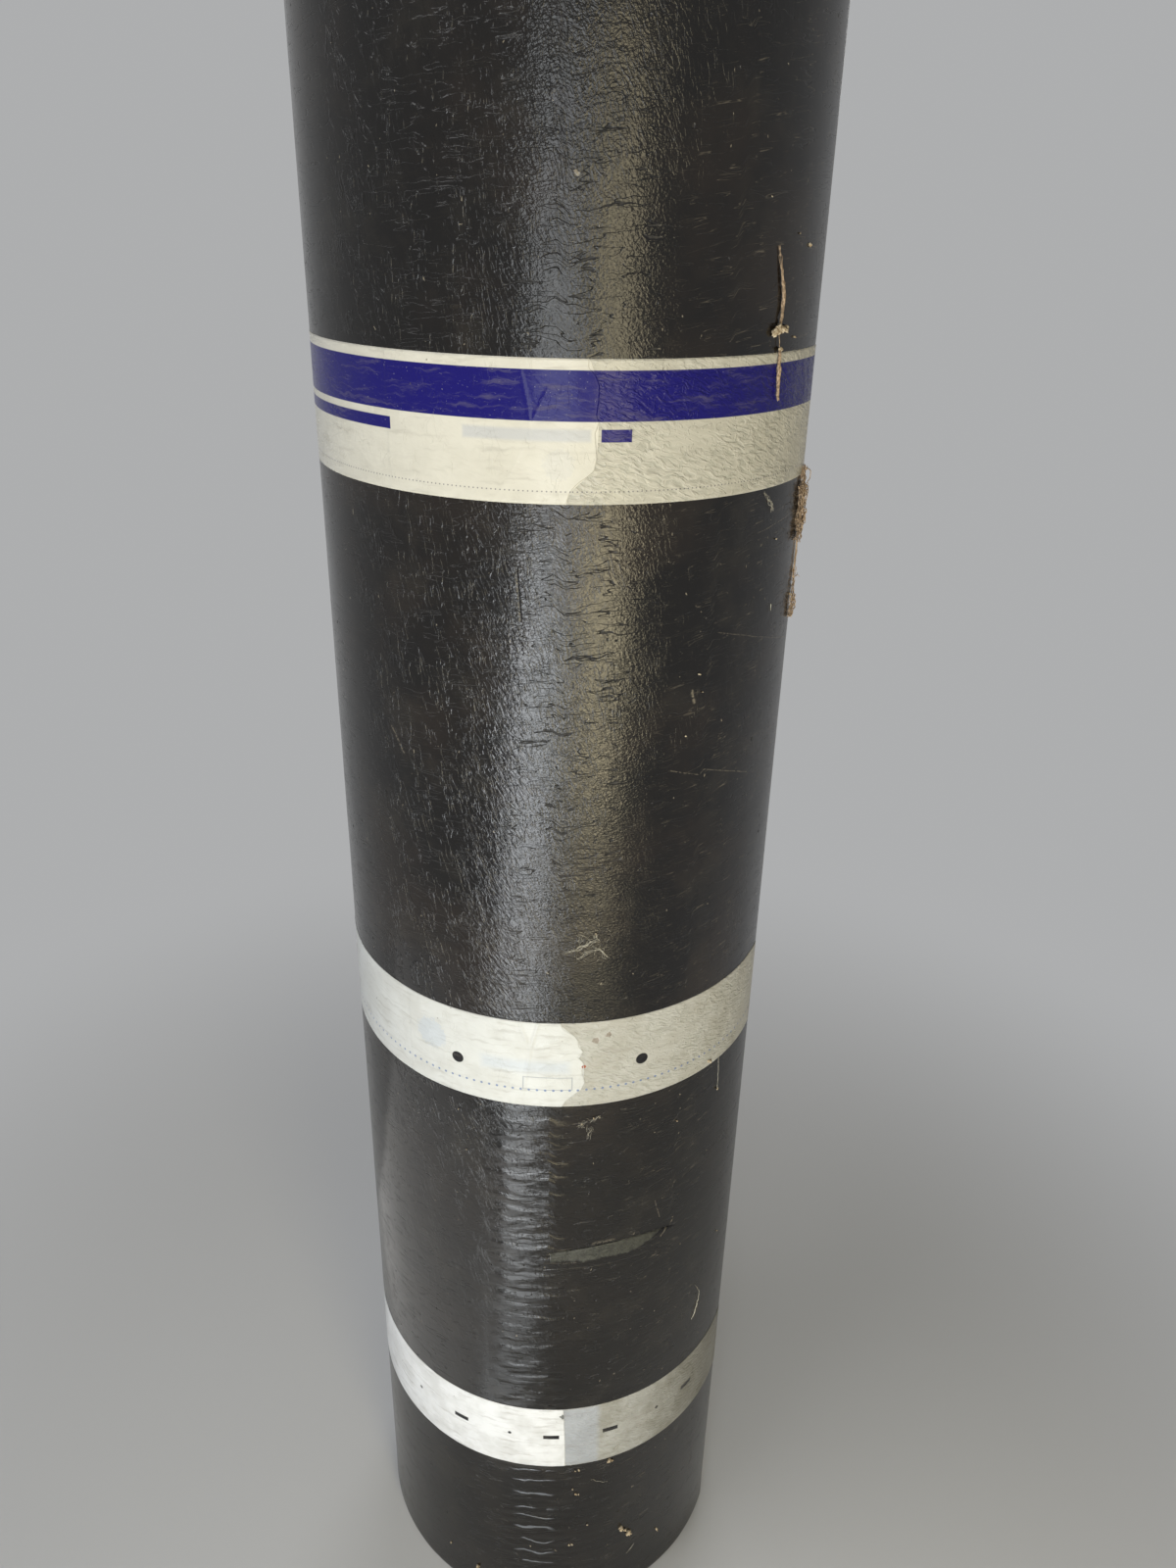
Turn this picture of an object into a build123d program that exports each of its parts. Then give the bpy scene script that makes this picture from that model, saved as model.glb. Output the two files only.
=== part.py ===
from build123d import *
import math
import os

# A roll of bitumen roofing felt standing on its end, held shut by three bands of packing tape.
# The felt is one long sheet wound on a bare mandrel, so the roll has a bore and no core tube.
# The origin is on the floor, on the axis of the roll. +Z runs up the roll and -Y is its front. Both
# ends of the sheet, the outer one and the one in the bore, are at its right. All sizes are in
# millimetres.

# The sheet and how it is wound
sheet_width = 1000.0       # the sheet's width is the height of the roll
sheet_thickness = 4.0      # wound tight, so this is also the pitch of the coil
turn_count = 16
bore_radius = 42.5         # at the front half of the bore
sheet_end_angle = -21.0    # both ends of the sheet, in degrees counter-clockwise from +X

# The cut edges of the turns, rounded off where one turn meets the next
edge_groove_width = 1.2
edge_groove_depth = 2.0

# The packing tape
tape_thickness = 0.1
glue_line = 0.02           # between the felt and the tape
saw_tooth_pitch = 4.0      # left by the blade of a tape dispenser
saw_tooth_depth = 2.0
tear_depth = 5.0           # how far a tear by hand runs back into the tape
knife_slant = 1.5          # how far a knife cut is out of square

# Each band of tape: the height of its middle, its width, the angles at which it starts to lie on
# itself and at which its loose end is, in degrees counter-clockwise from +X, and how it was parted
bands = {
    "tape_band_lower": {"middle": 154.0, "width": 48.0, "lap_start": -129.0, "lap_end": -85.5, "parted": "cut"},
    "tape_band_middle": {"middle": 416.0, "width": 48.0, "lap_start": -131.0, "lap_end": -83.5, "parted": "sawn"},
    "tape_band_upper": {"middle": 697.0, "width": 50.0, "lap_start": -128.0, "lap_end": -84.0, "parted": "torn"},
}

# The coil is drawn with the sheet's ends at +X, and turned into its place at the end. It is a spiral
# of half turns. Those at the front share one centre and those at the back another, half a thickness
# away from it, so that each half turn runs smoothly into the next.
front_centre = sheet_thickness / 4
back_centre = -sheet_thickness / 4
back_bore_radius = bore_radius - sheet_thickness / 2
front_radius = bore_radius + turn_count * sheet_thickness
back_radius = back_bore_radius + turn_count * sheet_thickness


def coil_profile(inner_radius):
    """All the turns cut through on one side of the axis: a comb of rounded edges at both ends."""
    foot = [(inner_radius, edge_groove_depth)]
    for turn in range(turn_count):
        start = inner_radius + turn * sheet_thickness
        end = start + sheet_thickness
        foot.append((start + edge_groove_width / 2, 0))
        foot.append((end - edge_groove_width / 2, 0))
        foot.append((end, edge_groove_depth))
    head = [(radius, sheet_width - height) for radius, height in reversed(foot)]
    return make_face(Polyline([(radius, 0, height) for radius, height in foot + head], close=True))


def half_coil(inner_radius):
    """The turns swept half way round the axis, on the +Y side of it."""
    return revolve(coil_profile(inner_radius), Axis.Z, revolution_arc=180)


def felt_roll():
    """The wound sheet. Where the two halves meet at +X they are one turn out of step, which leaves
    the sheet's outer end standing out by its thickness and its inner end as a step in the bore."""
    front = Pos(front_centre, 0, 0) * Rot(0, 0, 180) * half_coil(bore_radius)
    back = Pos(back_centre, 0, 0) * half_coil(back_bore_radius)
    return Rot(0, 0, sheet_end_angle) * (front + back)


def around(centre, radius, angle):
    """The point at that angle on a circle round a centre on the X axis."""
    return (centre + radius * math.cos(angle), radius * math.sin(angle))


def wrap_face(lift):
    """The area inside a film that is stretched round the coil, lift away from the felt. It lies on
    both halves, and runs straight from the corner of the sheet's outer end down to the back half."""
    front = front_radius + glue_line
    back = back_radius + glue_line
    leaves = math.acos(back / (front + front_centre - back_centre))
    corner = front_centre + front + lift
    lands = around(back_centre, back + lift, leaves)
    outline = [
        CenterArc((front_centre, 0), front + lift, 180, 180),
        CenterArc((back_centre, 0), back + lift, math.degrees(leaves), 180 - math.degrees(leaves)),
    ]
    if lift > 0:
        mitre = (corner, lift * math.tan(leaves / 2))
        outline.append(Polyline((corner, 0), mitre, lands))
    else:
        outline.append(Line((corner, 0), lands))
    return make_face(outline)


def lap_face(lap_start, lap_end):
    """The stretch at the front where the tape lies on itself, seen from above."""
    inner = front_radius + glue_line + tape_thickness
    outer = inner + tape_thickness
    start, end = math.radians(lap_start), math.radians(lap_end)
    sweep = lap_end - lap_start
    return make_face([
        CenterArc((front_centre, 0), inner, lap_start, sweep),
        CenterArc((front_centre, 0), outer, lap_start, sweep),
        Line(around(front_centre, inner, start), around(front_centre, outer, start)),
        Line(around(front_centre, inner, end), around(front_centre, outer, end)),
    ])


def parting_line(parted, width):
    """The edge of a loose end laid flat, from its lower corner to its upper one."""
    if parted == "sawn":
        notches = max(1, round(width / saw_tooth_pitch))
        step = width / notches
        corners = [(0, 0)]
        for notch in range(notches):
            corners.append((-saw_tooth_depth, (notch + 0.5) * step))
            corners.append((0, (notch + 1) * step))
        return Polyline(corners)
    if parted == "torn":
        return ThreePointArc((0, 0), (-tear_depth, width / 2), (0, width))
    return Line((0, 0), (-knife_slant, width))


def offcut(parted, width, lap_end):
    """The tape that was parted off at the loose end, as a block to cut away."""
    line = parting_line(parted, width)
    angle = math.radians(lap_end)
    beyond = tape_thickness
    rest = Polyline(line @ 1, (beyond, width), (beyond, 0), line @ 0)
    end = Plane(
        origin=(*around(front_centre, front_radius, angle), 0),
        x_dir=(-math.sin(angle), math.cos(angle), 0),
        z_dir=(math.cos(angle), math.sin(angle), 0),
    )
    return extrude(end * make_face([line, rest]), 4 * (glue_line + tape_thickness), both=True)


def tape_band(middle, width, lap_start, lap_end, parted):
    """One band of tape: once round the roll, and on over its own start to its loose end."""
    start = lap_start - sheet_end_angle
    end = lap_end - sheet_end_angle
    once_round = extrude(wrap_face(tape_thickness) - wrap_face(0), width)
    over_itself = extrude(lap_face(start, end), width) - offcut(parted, width, end)
    band = Pos(0, 0, middle - width / 2) * (once_round + over_itself)
    return Rot(0, 0, sheet_end_angle) * band


def main():
    os.makedirs("parts", exist_ok=True)
    export_step(felt_roll(), "parts/felt_roll.step")
    for name, band in bands.items():
        export_step(tape_band(**band), f"parts/{name}.step")


main()
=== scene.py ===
import bpy
import functools
import math
import numpy as np
from mathutils import Matrix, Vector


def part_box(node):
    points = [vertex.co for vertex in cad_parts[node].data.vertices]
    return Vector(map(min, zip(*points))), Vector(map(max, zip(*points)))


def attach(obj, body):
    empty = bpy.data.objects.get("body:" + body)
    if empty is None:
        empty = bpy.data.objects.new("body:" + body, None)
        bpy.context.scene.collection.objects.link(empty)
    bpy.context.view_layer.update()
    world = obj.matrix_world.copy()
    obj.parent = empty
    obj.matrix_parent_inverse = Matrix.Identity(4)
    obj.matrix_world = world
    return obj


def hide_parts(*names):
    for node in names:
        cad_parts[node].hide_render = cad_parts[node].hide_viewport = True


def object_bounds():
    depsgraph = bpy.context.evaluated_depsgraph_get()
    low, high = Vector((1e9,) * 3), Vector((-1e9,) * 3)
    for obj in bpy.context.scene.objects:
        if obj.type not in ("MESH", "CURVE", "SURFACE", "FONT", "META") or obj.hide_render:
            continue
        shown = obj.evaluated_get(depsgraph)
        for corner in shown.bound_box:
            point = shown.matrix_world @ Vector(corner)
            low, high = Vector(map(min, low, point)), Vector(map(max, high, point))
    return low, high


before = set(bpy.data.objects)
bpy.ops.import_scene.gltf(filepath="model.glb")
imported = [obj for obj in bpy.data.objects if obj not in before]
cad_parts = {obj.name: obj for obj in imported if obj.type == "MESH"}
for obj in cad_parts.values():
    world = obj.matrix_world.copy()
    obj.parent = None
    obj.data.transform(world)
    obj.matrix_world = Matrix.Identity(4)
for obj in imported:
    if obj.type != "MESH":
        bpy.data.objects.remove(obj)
cad_low, cad_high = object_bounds()


# The felt's outer turn. The felt is one sheet of bitumen on a fleece carrier, 4 mm thick, wound tight
# with its burn-off film outwards. Only this last turn shows from the side. The film is wrinkled all
# over, a blade has cut a flap into it, and the sheet's foot and its outer end are worn.
sheet_thickness = 0.004
sheet_end = math.radians(-21)      # the outer end, counter-clockwise from +X
turn_gap = 0.0001                  # between one turn and the next
edge_radius = 0.0007
felt_low, felt_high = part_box("felt_roll")
roll_height = felt_high.z
centre_shift = sheet_thickness / 4
front_radius = centre_shift * math.sin(sheet_end) - felt_low.y
back_radius = front_radius - sheet_thickness / 2
full_turn = 2 * math.pi


def at_azimuth(degrees):
    """How far round the last turn that azimuth is, in radians from under the sheet's outer end."""
    return (math.radians(degrees) - sheet_end) % full_turn


def on_last_turn(turned, inward, height):
    """Points of the last turn, inward metres below its outer face. Its halves have two centres."""
    at_back = turned < math.pi
    radius = np.where(at_back, back_radius, front_radius) - inward
    centre = np.where(at_back, -centre_shift, centre_shift)
    angle = sheet_end + turned
    x = centre * math.cos(sheet_end) + radius * np.cos(angle)
    y = centre * math.sin(sheet_end) + radius * np.sin(angle)
    return np.stack(np.broadcast_arrays(x, y, height), axis=-1)


def room_before(turned):
    """How far off the felt the front of the roll's box is, in metres."""
    facing = np.minimum(np.sin(sheet_end + turned), -0.001)
    return (cad_low.y - centre_shift * math.sin(sheet_end)) / facing - front_radius - 0.00001


def smooth_noise(across, up, wide, high, seed):
    """Noise from -1 to 1 whose lumps are wide by high metres, the same on every run."""
    cells = 1024
    values = np.random.default_rng(seed).uniform(-1, 1, (cells, cells))
    x, y = np.broadcast_arrays(across / wide, up / high)
    column, row = np.floor(x).astype(int), np.floor(y).astype(int)
    fade_x, fade_y = x - column, y - row
    fade_x = fade_x ** 3 * (fade_x * (6 * fade_x - 15) + 10)
    fade_y = fade_y ** 3 * (fade_y * (6 * fade_y - 15) + 10)
    corners = [[values[(column + i) % cells, (row + j) % cells] for j in (0, 1)] for i in (0, 1)]
    lower = corners[0][0] * (1 - fade_x) + corners[1][0] * fade_x
    upper = corners[0][1] * (1 - fade_x) + corners[1][1] * fade_x
    return lower * (1 - fade_y) + upper * fade_y


def rise(value, start, end):
    """Smoothly from 0 at start to 1 at end."""
    share = np.clip((value - start) / (end - start), 0, 1)
    return share * share * (3 - 2 * share)


def noise_lift(along, height, wide, high, seed):
    """Smooth noise from 0 to 1."""
    return (1 + smooth_noise(along, height, wide, high, seed)) / 2


def dimple(along, height, azimuth, middle, wide, high):
    """A round hollow, 1 at its middle."""
    from_middle = (along - at_azimuth(azimuth) * front_radius) / wide
    return np.exp(-from_middle ** 2 - ((height - middle) / high) ** 2)


swell_depth = 0.00026
wave_depth = 0.00012
pucker_depth = 0.00005
pressed_depth = 0.00014            # under the bands of tape
ladder_pitch = 0.0068              # fine folds across the roll, where the felt was bent tight
ladder_depth = 0.00017
gouge_left, gouge_right = (at_azimuth(azimuth) * front_radius for azimuth in (-91.5, -55))
gouge_top, gouge_arch, gouge_high = 0.3003, 0.0036, 0.0112
gouge_depth, slit_depth, slit_width = 0.0008, 0.0018, 0.0005

# Dents in the felt: depth, azimuth, height, and how wide and high, all but the azimuth in metres
dents = [
    (0.00045, -95.0, 0.611, 0.004, 0.0045), (0.0004, -88.0, 0.085, 0.012, 0.010),
    (0.0005, -33.0, 0.545, 0.018, 0.030)]


def top_of_gouge(along):
    """How far along the cut a place is, from 0 to 1, and how high the cut's upper edge is there."""
    share = (along - gouge_left) / (gouge_right - gouge_left)
    return share, gouge_top - gouge_arch * (2 * share - 1) ** 2


def gouge(along, height):
    """A cut that a blade made from above: a slit along its top, and bare bitumen that runs out below."""
    share, top = top_of_gouge(along)
    high = gouge_high * (1 - 0.95 * rise(share, 0.62, 1.0) - 0.35 * rise(share, 0.30, 0.0))
    below = top - height
    ends = rise(share, 0.0, 0.04) * rise(share, 1.0, 0.95)
    slit = slit_depth * np.exp(-((below - slit_width) / slit_width) ** 2)
    lip = 0.0002 * np.exp(-(below / 0.0008) ** 2) * (below < 0)
    hollow = gouge_depth * rise(below, 0.0, 0.0006) * np.clip(1 - below / high, 0, 1) ** 0.9
    return ends * (hollow + slit - lip)


def felt_relief(turned, height):
    """How far the felt's outer face lies inside a perfect coil, in metres."""
    along = turned * front_radius
    ends = rise(height, 0.0, 0.02) * rise(height, roll_height, roll_height - 0.02)
    swell = swell_depth * noise_lift(along, height, 0.11, 0.19, 3)
    wave = wave_depth * noise_lift(along, height, 0.031, 0.043, 4)
    pucker = pucker_depth * noise_lift(along, height, 0.009, 0.013, 5)

    # The fine folds: where they are deep and where faint, how they wander, and where they break off
    zone = rise(turned, at_azimuth(-107), at_azimuth(-101)) * rise(turned, at_azimuth(-80), at_azimuth(-93))
    faint = rise(turned, at_azimuth(-98), at_azimuth(-90)) * rise(turned, at_azimuth(-52), at_azimuth(-75))
    low = rise(height, 0.392, 0.37) + 0.5 * rise(height, 0.70, 0.75) * rise(height, 0.82, 0.79)
    jitter = 0.9 * smooth_noise(along, height, 0.012, 0.019, 6)
    jitter = jitter + 0.5 * smooth_noise(along, height, 0.004, 0.01, 8)
    broken = 0.55 + 0.45 * smooth_noise(along, height, 0.008, 0.007, 7)
    broken = broken * (0.45 + 0.75 * rise(noise_lift(along, height, 0.06, 0.024, 9), 0.25, 0.65))
    ladder = np.sin(full_turn * height / ladder_pitch + 2.2 * jitter)
    ladder = ladder_depth * low * (zone * broken + 0.22 * faint) * (1 + ladder)
    dented = sum(depth * dimple(along, height, *place) for depth, *place in dents)
    return ends * (swell + wave + pucker + ladder + dented) + gouge(along, height)


tape_nodes = ("tape_band_lower", "tape_band_middle", "tape_band_upper")


def pressed_by_tape(height):
    """How far the bands of tape press the felt in."""
    pressed = 0 * height
    for node in tape_nodes:
        low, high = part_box(node)
        inside = rise(height, low.z + 0.0004, low.z + 0.003) * rise(height, high.z - 0.0004, high.z - 0.003)
        pressed = pressed + pressed_depth * inside
    return pressed


def spaced(start, zones):
    """Places from start on, as evenly as each zone's step asks, given as (the zone's end, its step)."""
    places = [start]
    for end, step in zones:
        count = max(1, round(abs(end - places[-1]) / step))
        places.extend(np.linspace(places[-1], end, count + 1)[1:])
    return np.array(places)


def tube_mesh(name, points, along, around):
    """A closed mesh of sections: points[i, j] is point j of loop i, and the first and last loop are
    capped. Its UV map is in metres, with along[i, j] as U and around[i, j] as V."""
    steps, loop = points.shape[:2]
    index = np.arange(steps * loop).reshape(steps, loop)
    beside = np.roll(index, -1, axis=1)
    quads = np.stack([index[:-1], index[1:], beside[1:], beside[:-1]], axis=-1).reshape(-1, 4)
    faces = quads.tolist() + [index[0].tolist(), index[-1][::-1].tolist()]
    mesh = bpy.data.meshes.new(name)
    mesh.from_pydata(points.reshape(-1, 3).tolist(), [], faces)
    place = np.stack(np.broadcast_arrays(along, around), axis=-1)
    corners = np.stack([place[:-1, :-1], place[1:, :-1], place[1:, 1:], place[:-1, 1:]], axis=2)
    caps = [place[0, :-1], place[-1, :-1][::-1]]
    layer = mesh.uv_layers.new(name="flat")
    layer.data.foreach_set("uv", np.concatenate([corners.reshape(-1, 2), *caps]).astype(np.float32).ravel())
    mesh.polygons.foreach_set("use_smooth", [True] * len(quads) + [False] * 2)
    return mesh


def around_lengths(points):
    """How far along its loop each point lies, and the whole loop's length at the end."""
    closed = np.concatenate([points, points[:, :1]], axis=1)
    steps = np.linalg.norm(np.diff(closed, axis=1), axis=-1)
    return np.concatenate([np.zeros((len(points), 1)), np.cumsum(steps, axis=1)], axis=1)


# How far apart the vertices are: round the roll, at its back and at its front, and up it, closest
# together at the cut
coarse_step, fine_step = 0.0066, 0.0021
fine_from = at_azimuth(-172)
end_round = 0.0012 / front_radius
near_end = np.array([0.6, 0.3, 0.1, 0.0])
turned = spaced(0, [
    (fine_from, coarse_step / front_radius), (full_turn - end_round, fine_step / front_radius)])
turned = np.append(turned, full_turn - end_round * near_end)[:, None]
rows = spaced(0, [(0.286, 0.0021), (0.2985, 0.0010), (0.3008, 0.0002), (0.303, 0.0007), (0.40, 0.0021),
                  (0.83, 0.0026), (roll_height, 0.0035)])
quarter = np.linspace(0, math.pi / 2, 4)[1:]

# The uneven foot and head, the face between them, which keeps its rows along the cut, and the rounded
# corners
along = turned * front_radius
foot = 0.0006 * noise_lift(along, 0, 0.05, 1, 11) + 0.0003 * noise_lift(along, 0, 0.008, 1, 12)
head = roll_height - 0.0006 * noise_lift(along, 0, 0.06, 1, 13) - 0.0002 * noise_lift(along, 0, 0.009, 1, 14)
share = (rows / roll_height)[None, :]
face_height = foot + edge_radius + share * (head - foot - 2 * edge_radius)
share, top = top_of_gouge(along)
beside = rise(share, -0.3, 0.0) * rise(share, 1.3, 1.0)
near_gouge = rise(rows, 0.280, 0.293) * rise(rows, 0.316, 0.303)
face_height = face_height + (top - gouge_top) * beside * near_gouge
head_corner = head - edge_radius * (1 - np.sin(quarter))[None, :]
foot_corner = foot + edge_radius * (1 - np.sin(quarter))[None, :]
height = np.concatenate([
    face_height, head_corner, head_corner[:, ::-1], head - edge_radius,
    foot + edge_radius, foot_corner, foot_corner[:, ::-1]], axis=1)
corner_in = edge_radius * (1 - np.cos(quarter))[None, :] + 0 * foot
inner = sheet_thickness - turn_gap + 0 * foot
inward = np.concatenate([
    felt_relief(turned, face_height) + pressed_by_tape(face_height), corner_in, inner - corner_in[:, ::-1],
    inner, inner, inner - corner_in, corner_in[:, ::-1]], axis=1)
to_end = (full_turn - turned) * front_radius
worn = edge_radius - np.sqrt(edge_radius ** 2 - np.clip(edge_radius - to_end, 0, edge_radius) ** 2)
inward = np.clip(inward, worn, sheet_thickness - turn_gap - worn * 0.6)
points = on_last_turn(turned, inward, height)
felt_mesh = tube_mesh("felt_outer_turn", points, turned * front_radius, around_lengths(points))
across = felt_mesh.attributes.new("across", "FLOAT", "POINT")
across.data.foreach_set("value", (inward / sheet_thickness).astype(np.float32).ravel())

# What each face is made of
film, cut_edge, underside, deep_slit = 0, 1, 2, 3
faces_of_loop = np.full(points.shape[1], film)
faces_of_loop[len(rows) + 1:len(rows) + 2 * len(quarter)] = cut_edge
faces_of_loop[len(rows) + 2 * len(quarter)] = underside
faces_of_loop[len(rows) + 2 * len(quarter) + 1:-1] = cut_edge
finish = np.tile(faces_of_loop, (len(points) - 1, 1))
# The faces just under the cut's top edge get the slit material, which is painted shade: near black, with no
# reflection
below = (top[:-1] + top[1:]) / 2 - (face_height[:-1, :-1] + face_height[1:, 1:]) / 2
slit_high = slit_width * (2.5 - 1.5 * rise(share[:-1], 0.45, 0.8) - rise(share[:-1], 0.2, 0.0))
in_slit = (below > 0) & (below < slit_high) & (share[:-1] > 0.01) & (share[:-1] < 0.97)
finish[:, :len(rows) - 1][in_slit] = deep_slit
finish = np.append(finish.ravel(), [cut_edge, cut_edge])
felt_mesh.polygons.foreach_set("material_index", finish.astype(np.int32))


class Nodes:
    """Adds nodes to a tree. An input is a number, a colour, or an output of another node."""

    def __init__(self, tree):
        self.tree = tree

    def feed(self, socket, value):
        if isinstance(value, bpy.types.NodeSocket):
            self.tree.links.new(value, socket)
        else:
            socket.default_value = value

    def add(self, kind, inputs=(), **settings):
        node = self.tree.nodes.new(kind)
        for name, value in settings.items():
            setattr(node, name, value)
        for socket, value in dict(inputs).items():
            self.feed(node.inputs[socket], value)
        return node

    def made(self, kind, inputs=(), **settings):
        """The first output of a new node."""
        return self.add(kind, inputs, **settings).outputs[0]

    def math(self, operation, *values):
        return self.made("ShaderNodeMath", dict(enumerate(values)), operation=operation)

    def times(self, *values):
        return functools.reduce(functools.partial(self.math, "MULTIPLY"), values)

    def times_plus(self, value, factor, more):
        return self.math("MULTIPLY_ADD", value, factor, more)

    def over(self, value, divisor):
        return self.math("DIVIDE", value, divisor)

    def plus(self, first, second):
        return self.math("ADD", first, second)

    def minus(self, first, second):
        return self.math("SUBTRACT", first, second)

    def gap(self, first, second):
        return self.math("ABSOLUTE", self.minus(first, second))

    def most(self, *values):
        return functools.reduce(functools.partial(self.math, "MAXIMUM"), values)

    def least(self, *values):
        return functools.reduce(functools.partial(self.math, "MINIMUM"), values)

    def rise(self, value, start, end, low=0.0, high=1.0):
        ranges = {0: value, 1: start, 2: end, 3: low, 4: high}
        return self.made("ShaderNodeMapRange", ranges, interpolation_type="SMOOTHSTEP")

    def vector(self, operation, *values):
        return self.made("ShaderNodeVectorMath", dict(enumerate(values)), operation=operation)

    def measure(self, operation, *values):
        """A vector operation that gives a number."""
        return self.add("ShaderNodeVectorMath", dict(enumerate(values)), operation=operation).outputs["Value"]

    def scaled(self, vector, factor):
        return self.made("ShaderNodeVectorMath", {0: vector, "Scale": factor}, operation="SCALE")

    def stretched(self, place, across, up):
        return self.vector("MULTIPLY", place, (across, up, 1.0))

    def turned(self, place, angle):
        return self.made("ShaderNodeVectorRotate", {"Vector": place, "Angle": angle}, rotation_type="Z_AXIS")

    def axes(self, place):
        return self.add("ShaderNodeSeparateXYZ", {0: place}).outputs

    def noise(self, place, scale, detail=2.0, roughness=0.5, distortion=0.0, output="Fac"):
        """Noise on a UV map."""
        inputs = {"Vector": place, "Scale": scale, "Detail": detail, "Roughness": roughness,
                  "Distortion": distortion}
        return self.add("ShaderNodeTexNoise", inputs, noise_dimensions="2D").outputs[output]

    def solid_noise(self, place, scale, detail):
        inputs = {"Vector": place, "Scale": scale, "Detail": detail}
        return self.add("ShaderNodeTexNoise", inputs).outputs["Fac"]

    def wandering(self, place, scale, reach):
        """Places that a noise shifts to all sides."""
        aside = self.vector("SUBTRACT", self.noise(place, scale, output="Color"), (0.5, 0.5, 0.5))
        return self.vector("ADD", place, self.scaled(aside, reach))

    def crests(self, noise, half_width):
        """1 along the lines on which a noise has its mean value."""
        return self.rise(self.gap(noise, 0.5), half_width, 0.0)

    def cells(self, place, scale):
        inputs = {"Vector": place, "Scale": scale}
        return self.add("ShaderNodeTexVoronoi", inputs, voronoi_dimensions="2D").outputs

    def red_of(self, colour):
        return self.made("ShaderNodeSeparateColor", {0: colour})

    def mix(self, factor, first, second):
        """Two colours."""
        return self.add("ShaderNodeMix", {0: factor, 6: first, 7: second}, data_type="RGBA").outputs[2]

    def blend(self, factor, first, second):
        """Two numbers."""
        return self.made("ShaderNodeMix", {0: factor, 2: first, 3: second})

    def paint(self, colour, paint, mask, share):
        """A colour with paint over it where a mask is 1, as thick as share says."""
        return self.mix(self.times(mask, share), colour, paint)

    def bump(self, shader, height, distance, strength):
        inputs = {"Height": height, "Distance": distance, "Strength": strength}
        self.feed(shader["Normal"], self.made("ShaderNodeBump", inputs))

    def group(self, tree, **inputs):
        node = self.add("ShaderNodeGroup", node_tree=tree)
        for name, value in inputs.items():
            self.feed(node.inputs[name.replace("_", " ")], value)
        return node.outputs


def node_tree(name, sort, inputs, outputs):
    """A tree whose sockets are given by kind: the tree, its node adder, its inputs and its outputs."""
    tree = bpy.data.node_groups.new(name, sort)
    for side, sockets in (("INPUT", inputs), ("OUTPUT", outputs)):
        for kind, names in sockets.items():
            for socket in names.split():
                tree.interface.new_socket(name=socket, in_out=side, socket_type="NodeSocket" + kind)
    nodes = Nodes(tree)
    return tree, nodes, nodes.add("NodeGroupInput").outputs, nodes.add("NodeGroupOutput").inputs


def film_wrinkles():
    """The shrunken film: leaning ridges that stand apart, a slanting grain, a fine pebbled one, level
    folds, creases and bars across the foot, and pits where bubbles burst. Place is the UV map, in metres.
    Height is in millimetres."""
    tree, nodes, given, result = node_tree(
        "film_wrinkles", "ShaderNodeTree",
        {"Vector": "Place", "Float": "Ridges Grain Pebble Creases Folds Bars"},
        {"Float": "Height Hollow Bar"})
    place = nodes.wandering(nodes.scaled(given["Place"], 1000.0), 0.12, 2.5)

    def leaning(degrees, across, up, detail, roughness=0.5, distortion=0.0):
        """Noise whose lumps lean by so many degrees."""
        stretched = nodes.stretched(nodes.turned(place, math.radians(-degrees)), across, up)
        return nodes.noise(stretched, 1.0, detail, roughness, distortion)

    ridge = nodes.crests(leaning(15, 0.34, 0.070, 1.2, 0.6), 0.045)
    ridge = nodes.times(ridge, nodes.rise(leaning(15, 0.13, 0.05, 2.0, 0.6), 0.40, 0.54))
    steep_crest = nodes.crests(leaning(24, 0.50, 0.15, 1.2), 0.060)
    grain = nodes.times_plus(leaning(38, 0.72, 0.25, 1.6), 0.20, nodes.times(steep_crest, 0.06))
    pebble = leaning(10, 0.85, 1.05, 1.5, 0.55, 0.3)
    fold = leaning(2, 0.040, 0.17, 1.6, 0.42)
    crease_patches = nodes.rise(leaning(0, 0.09, 0.16, 1.0), 0.40, 0.52)
    crease = nodes.times(nodes.crests(leaning(4, 0.045, 0.34, 1.0), 0.016), crease_patches, given["Creases"])
    bar_pitch = 11.0
    level = nodes.times_plus(leaning(0, 0.035, 0.05, 1.0), 14.0, nodes.axes(place)["Y"])
    bar = nodes.rise(nodes.math("PINGPONG", level, bar_pitch / 2), 1.1, 0.1)
    bar = nodes.times(bar, nodes.rise(leaning(3, 0.07, 0.12, 2.0), 0.34, 0.46), given["Bars"])
    cells = nodes.cells(place, 0.055)
    reach = nodes.times(nodes.math("POWER", nodes.red_of(cells["Color"]), 5.0), 0.055)
    pit = nodes.rise(nodes.minus(cells["Distance"], reach), 0.0, -0.03)

    height = nodes.times(ridge, 0.20, given["Ridges"])
    height = nodes.times_plus(grain, given["Grain"], height)
    height = nodes.times_plus(nodes.times(pebble, 0.13), given["Pebble"], height)
    height = nodes.times_plus(nodes.times(fold, 1.75), given["Folds"], height)
    height = nodes.times_plus(crease, -0.30, height)
    height = nodes.times_plus(pit, -0.35, height)
    height = nodes.times_plus(bar, 0.28, height)
    nodes.feed(result["Height"], height)
    nodes.feed(result["Bar"], bar)
    nodes.feed(result["Hollow"], nodes.most(crease, pit))
    return tree


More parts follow.
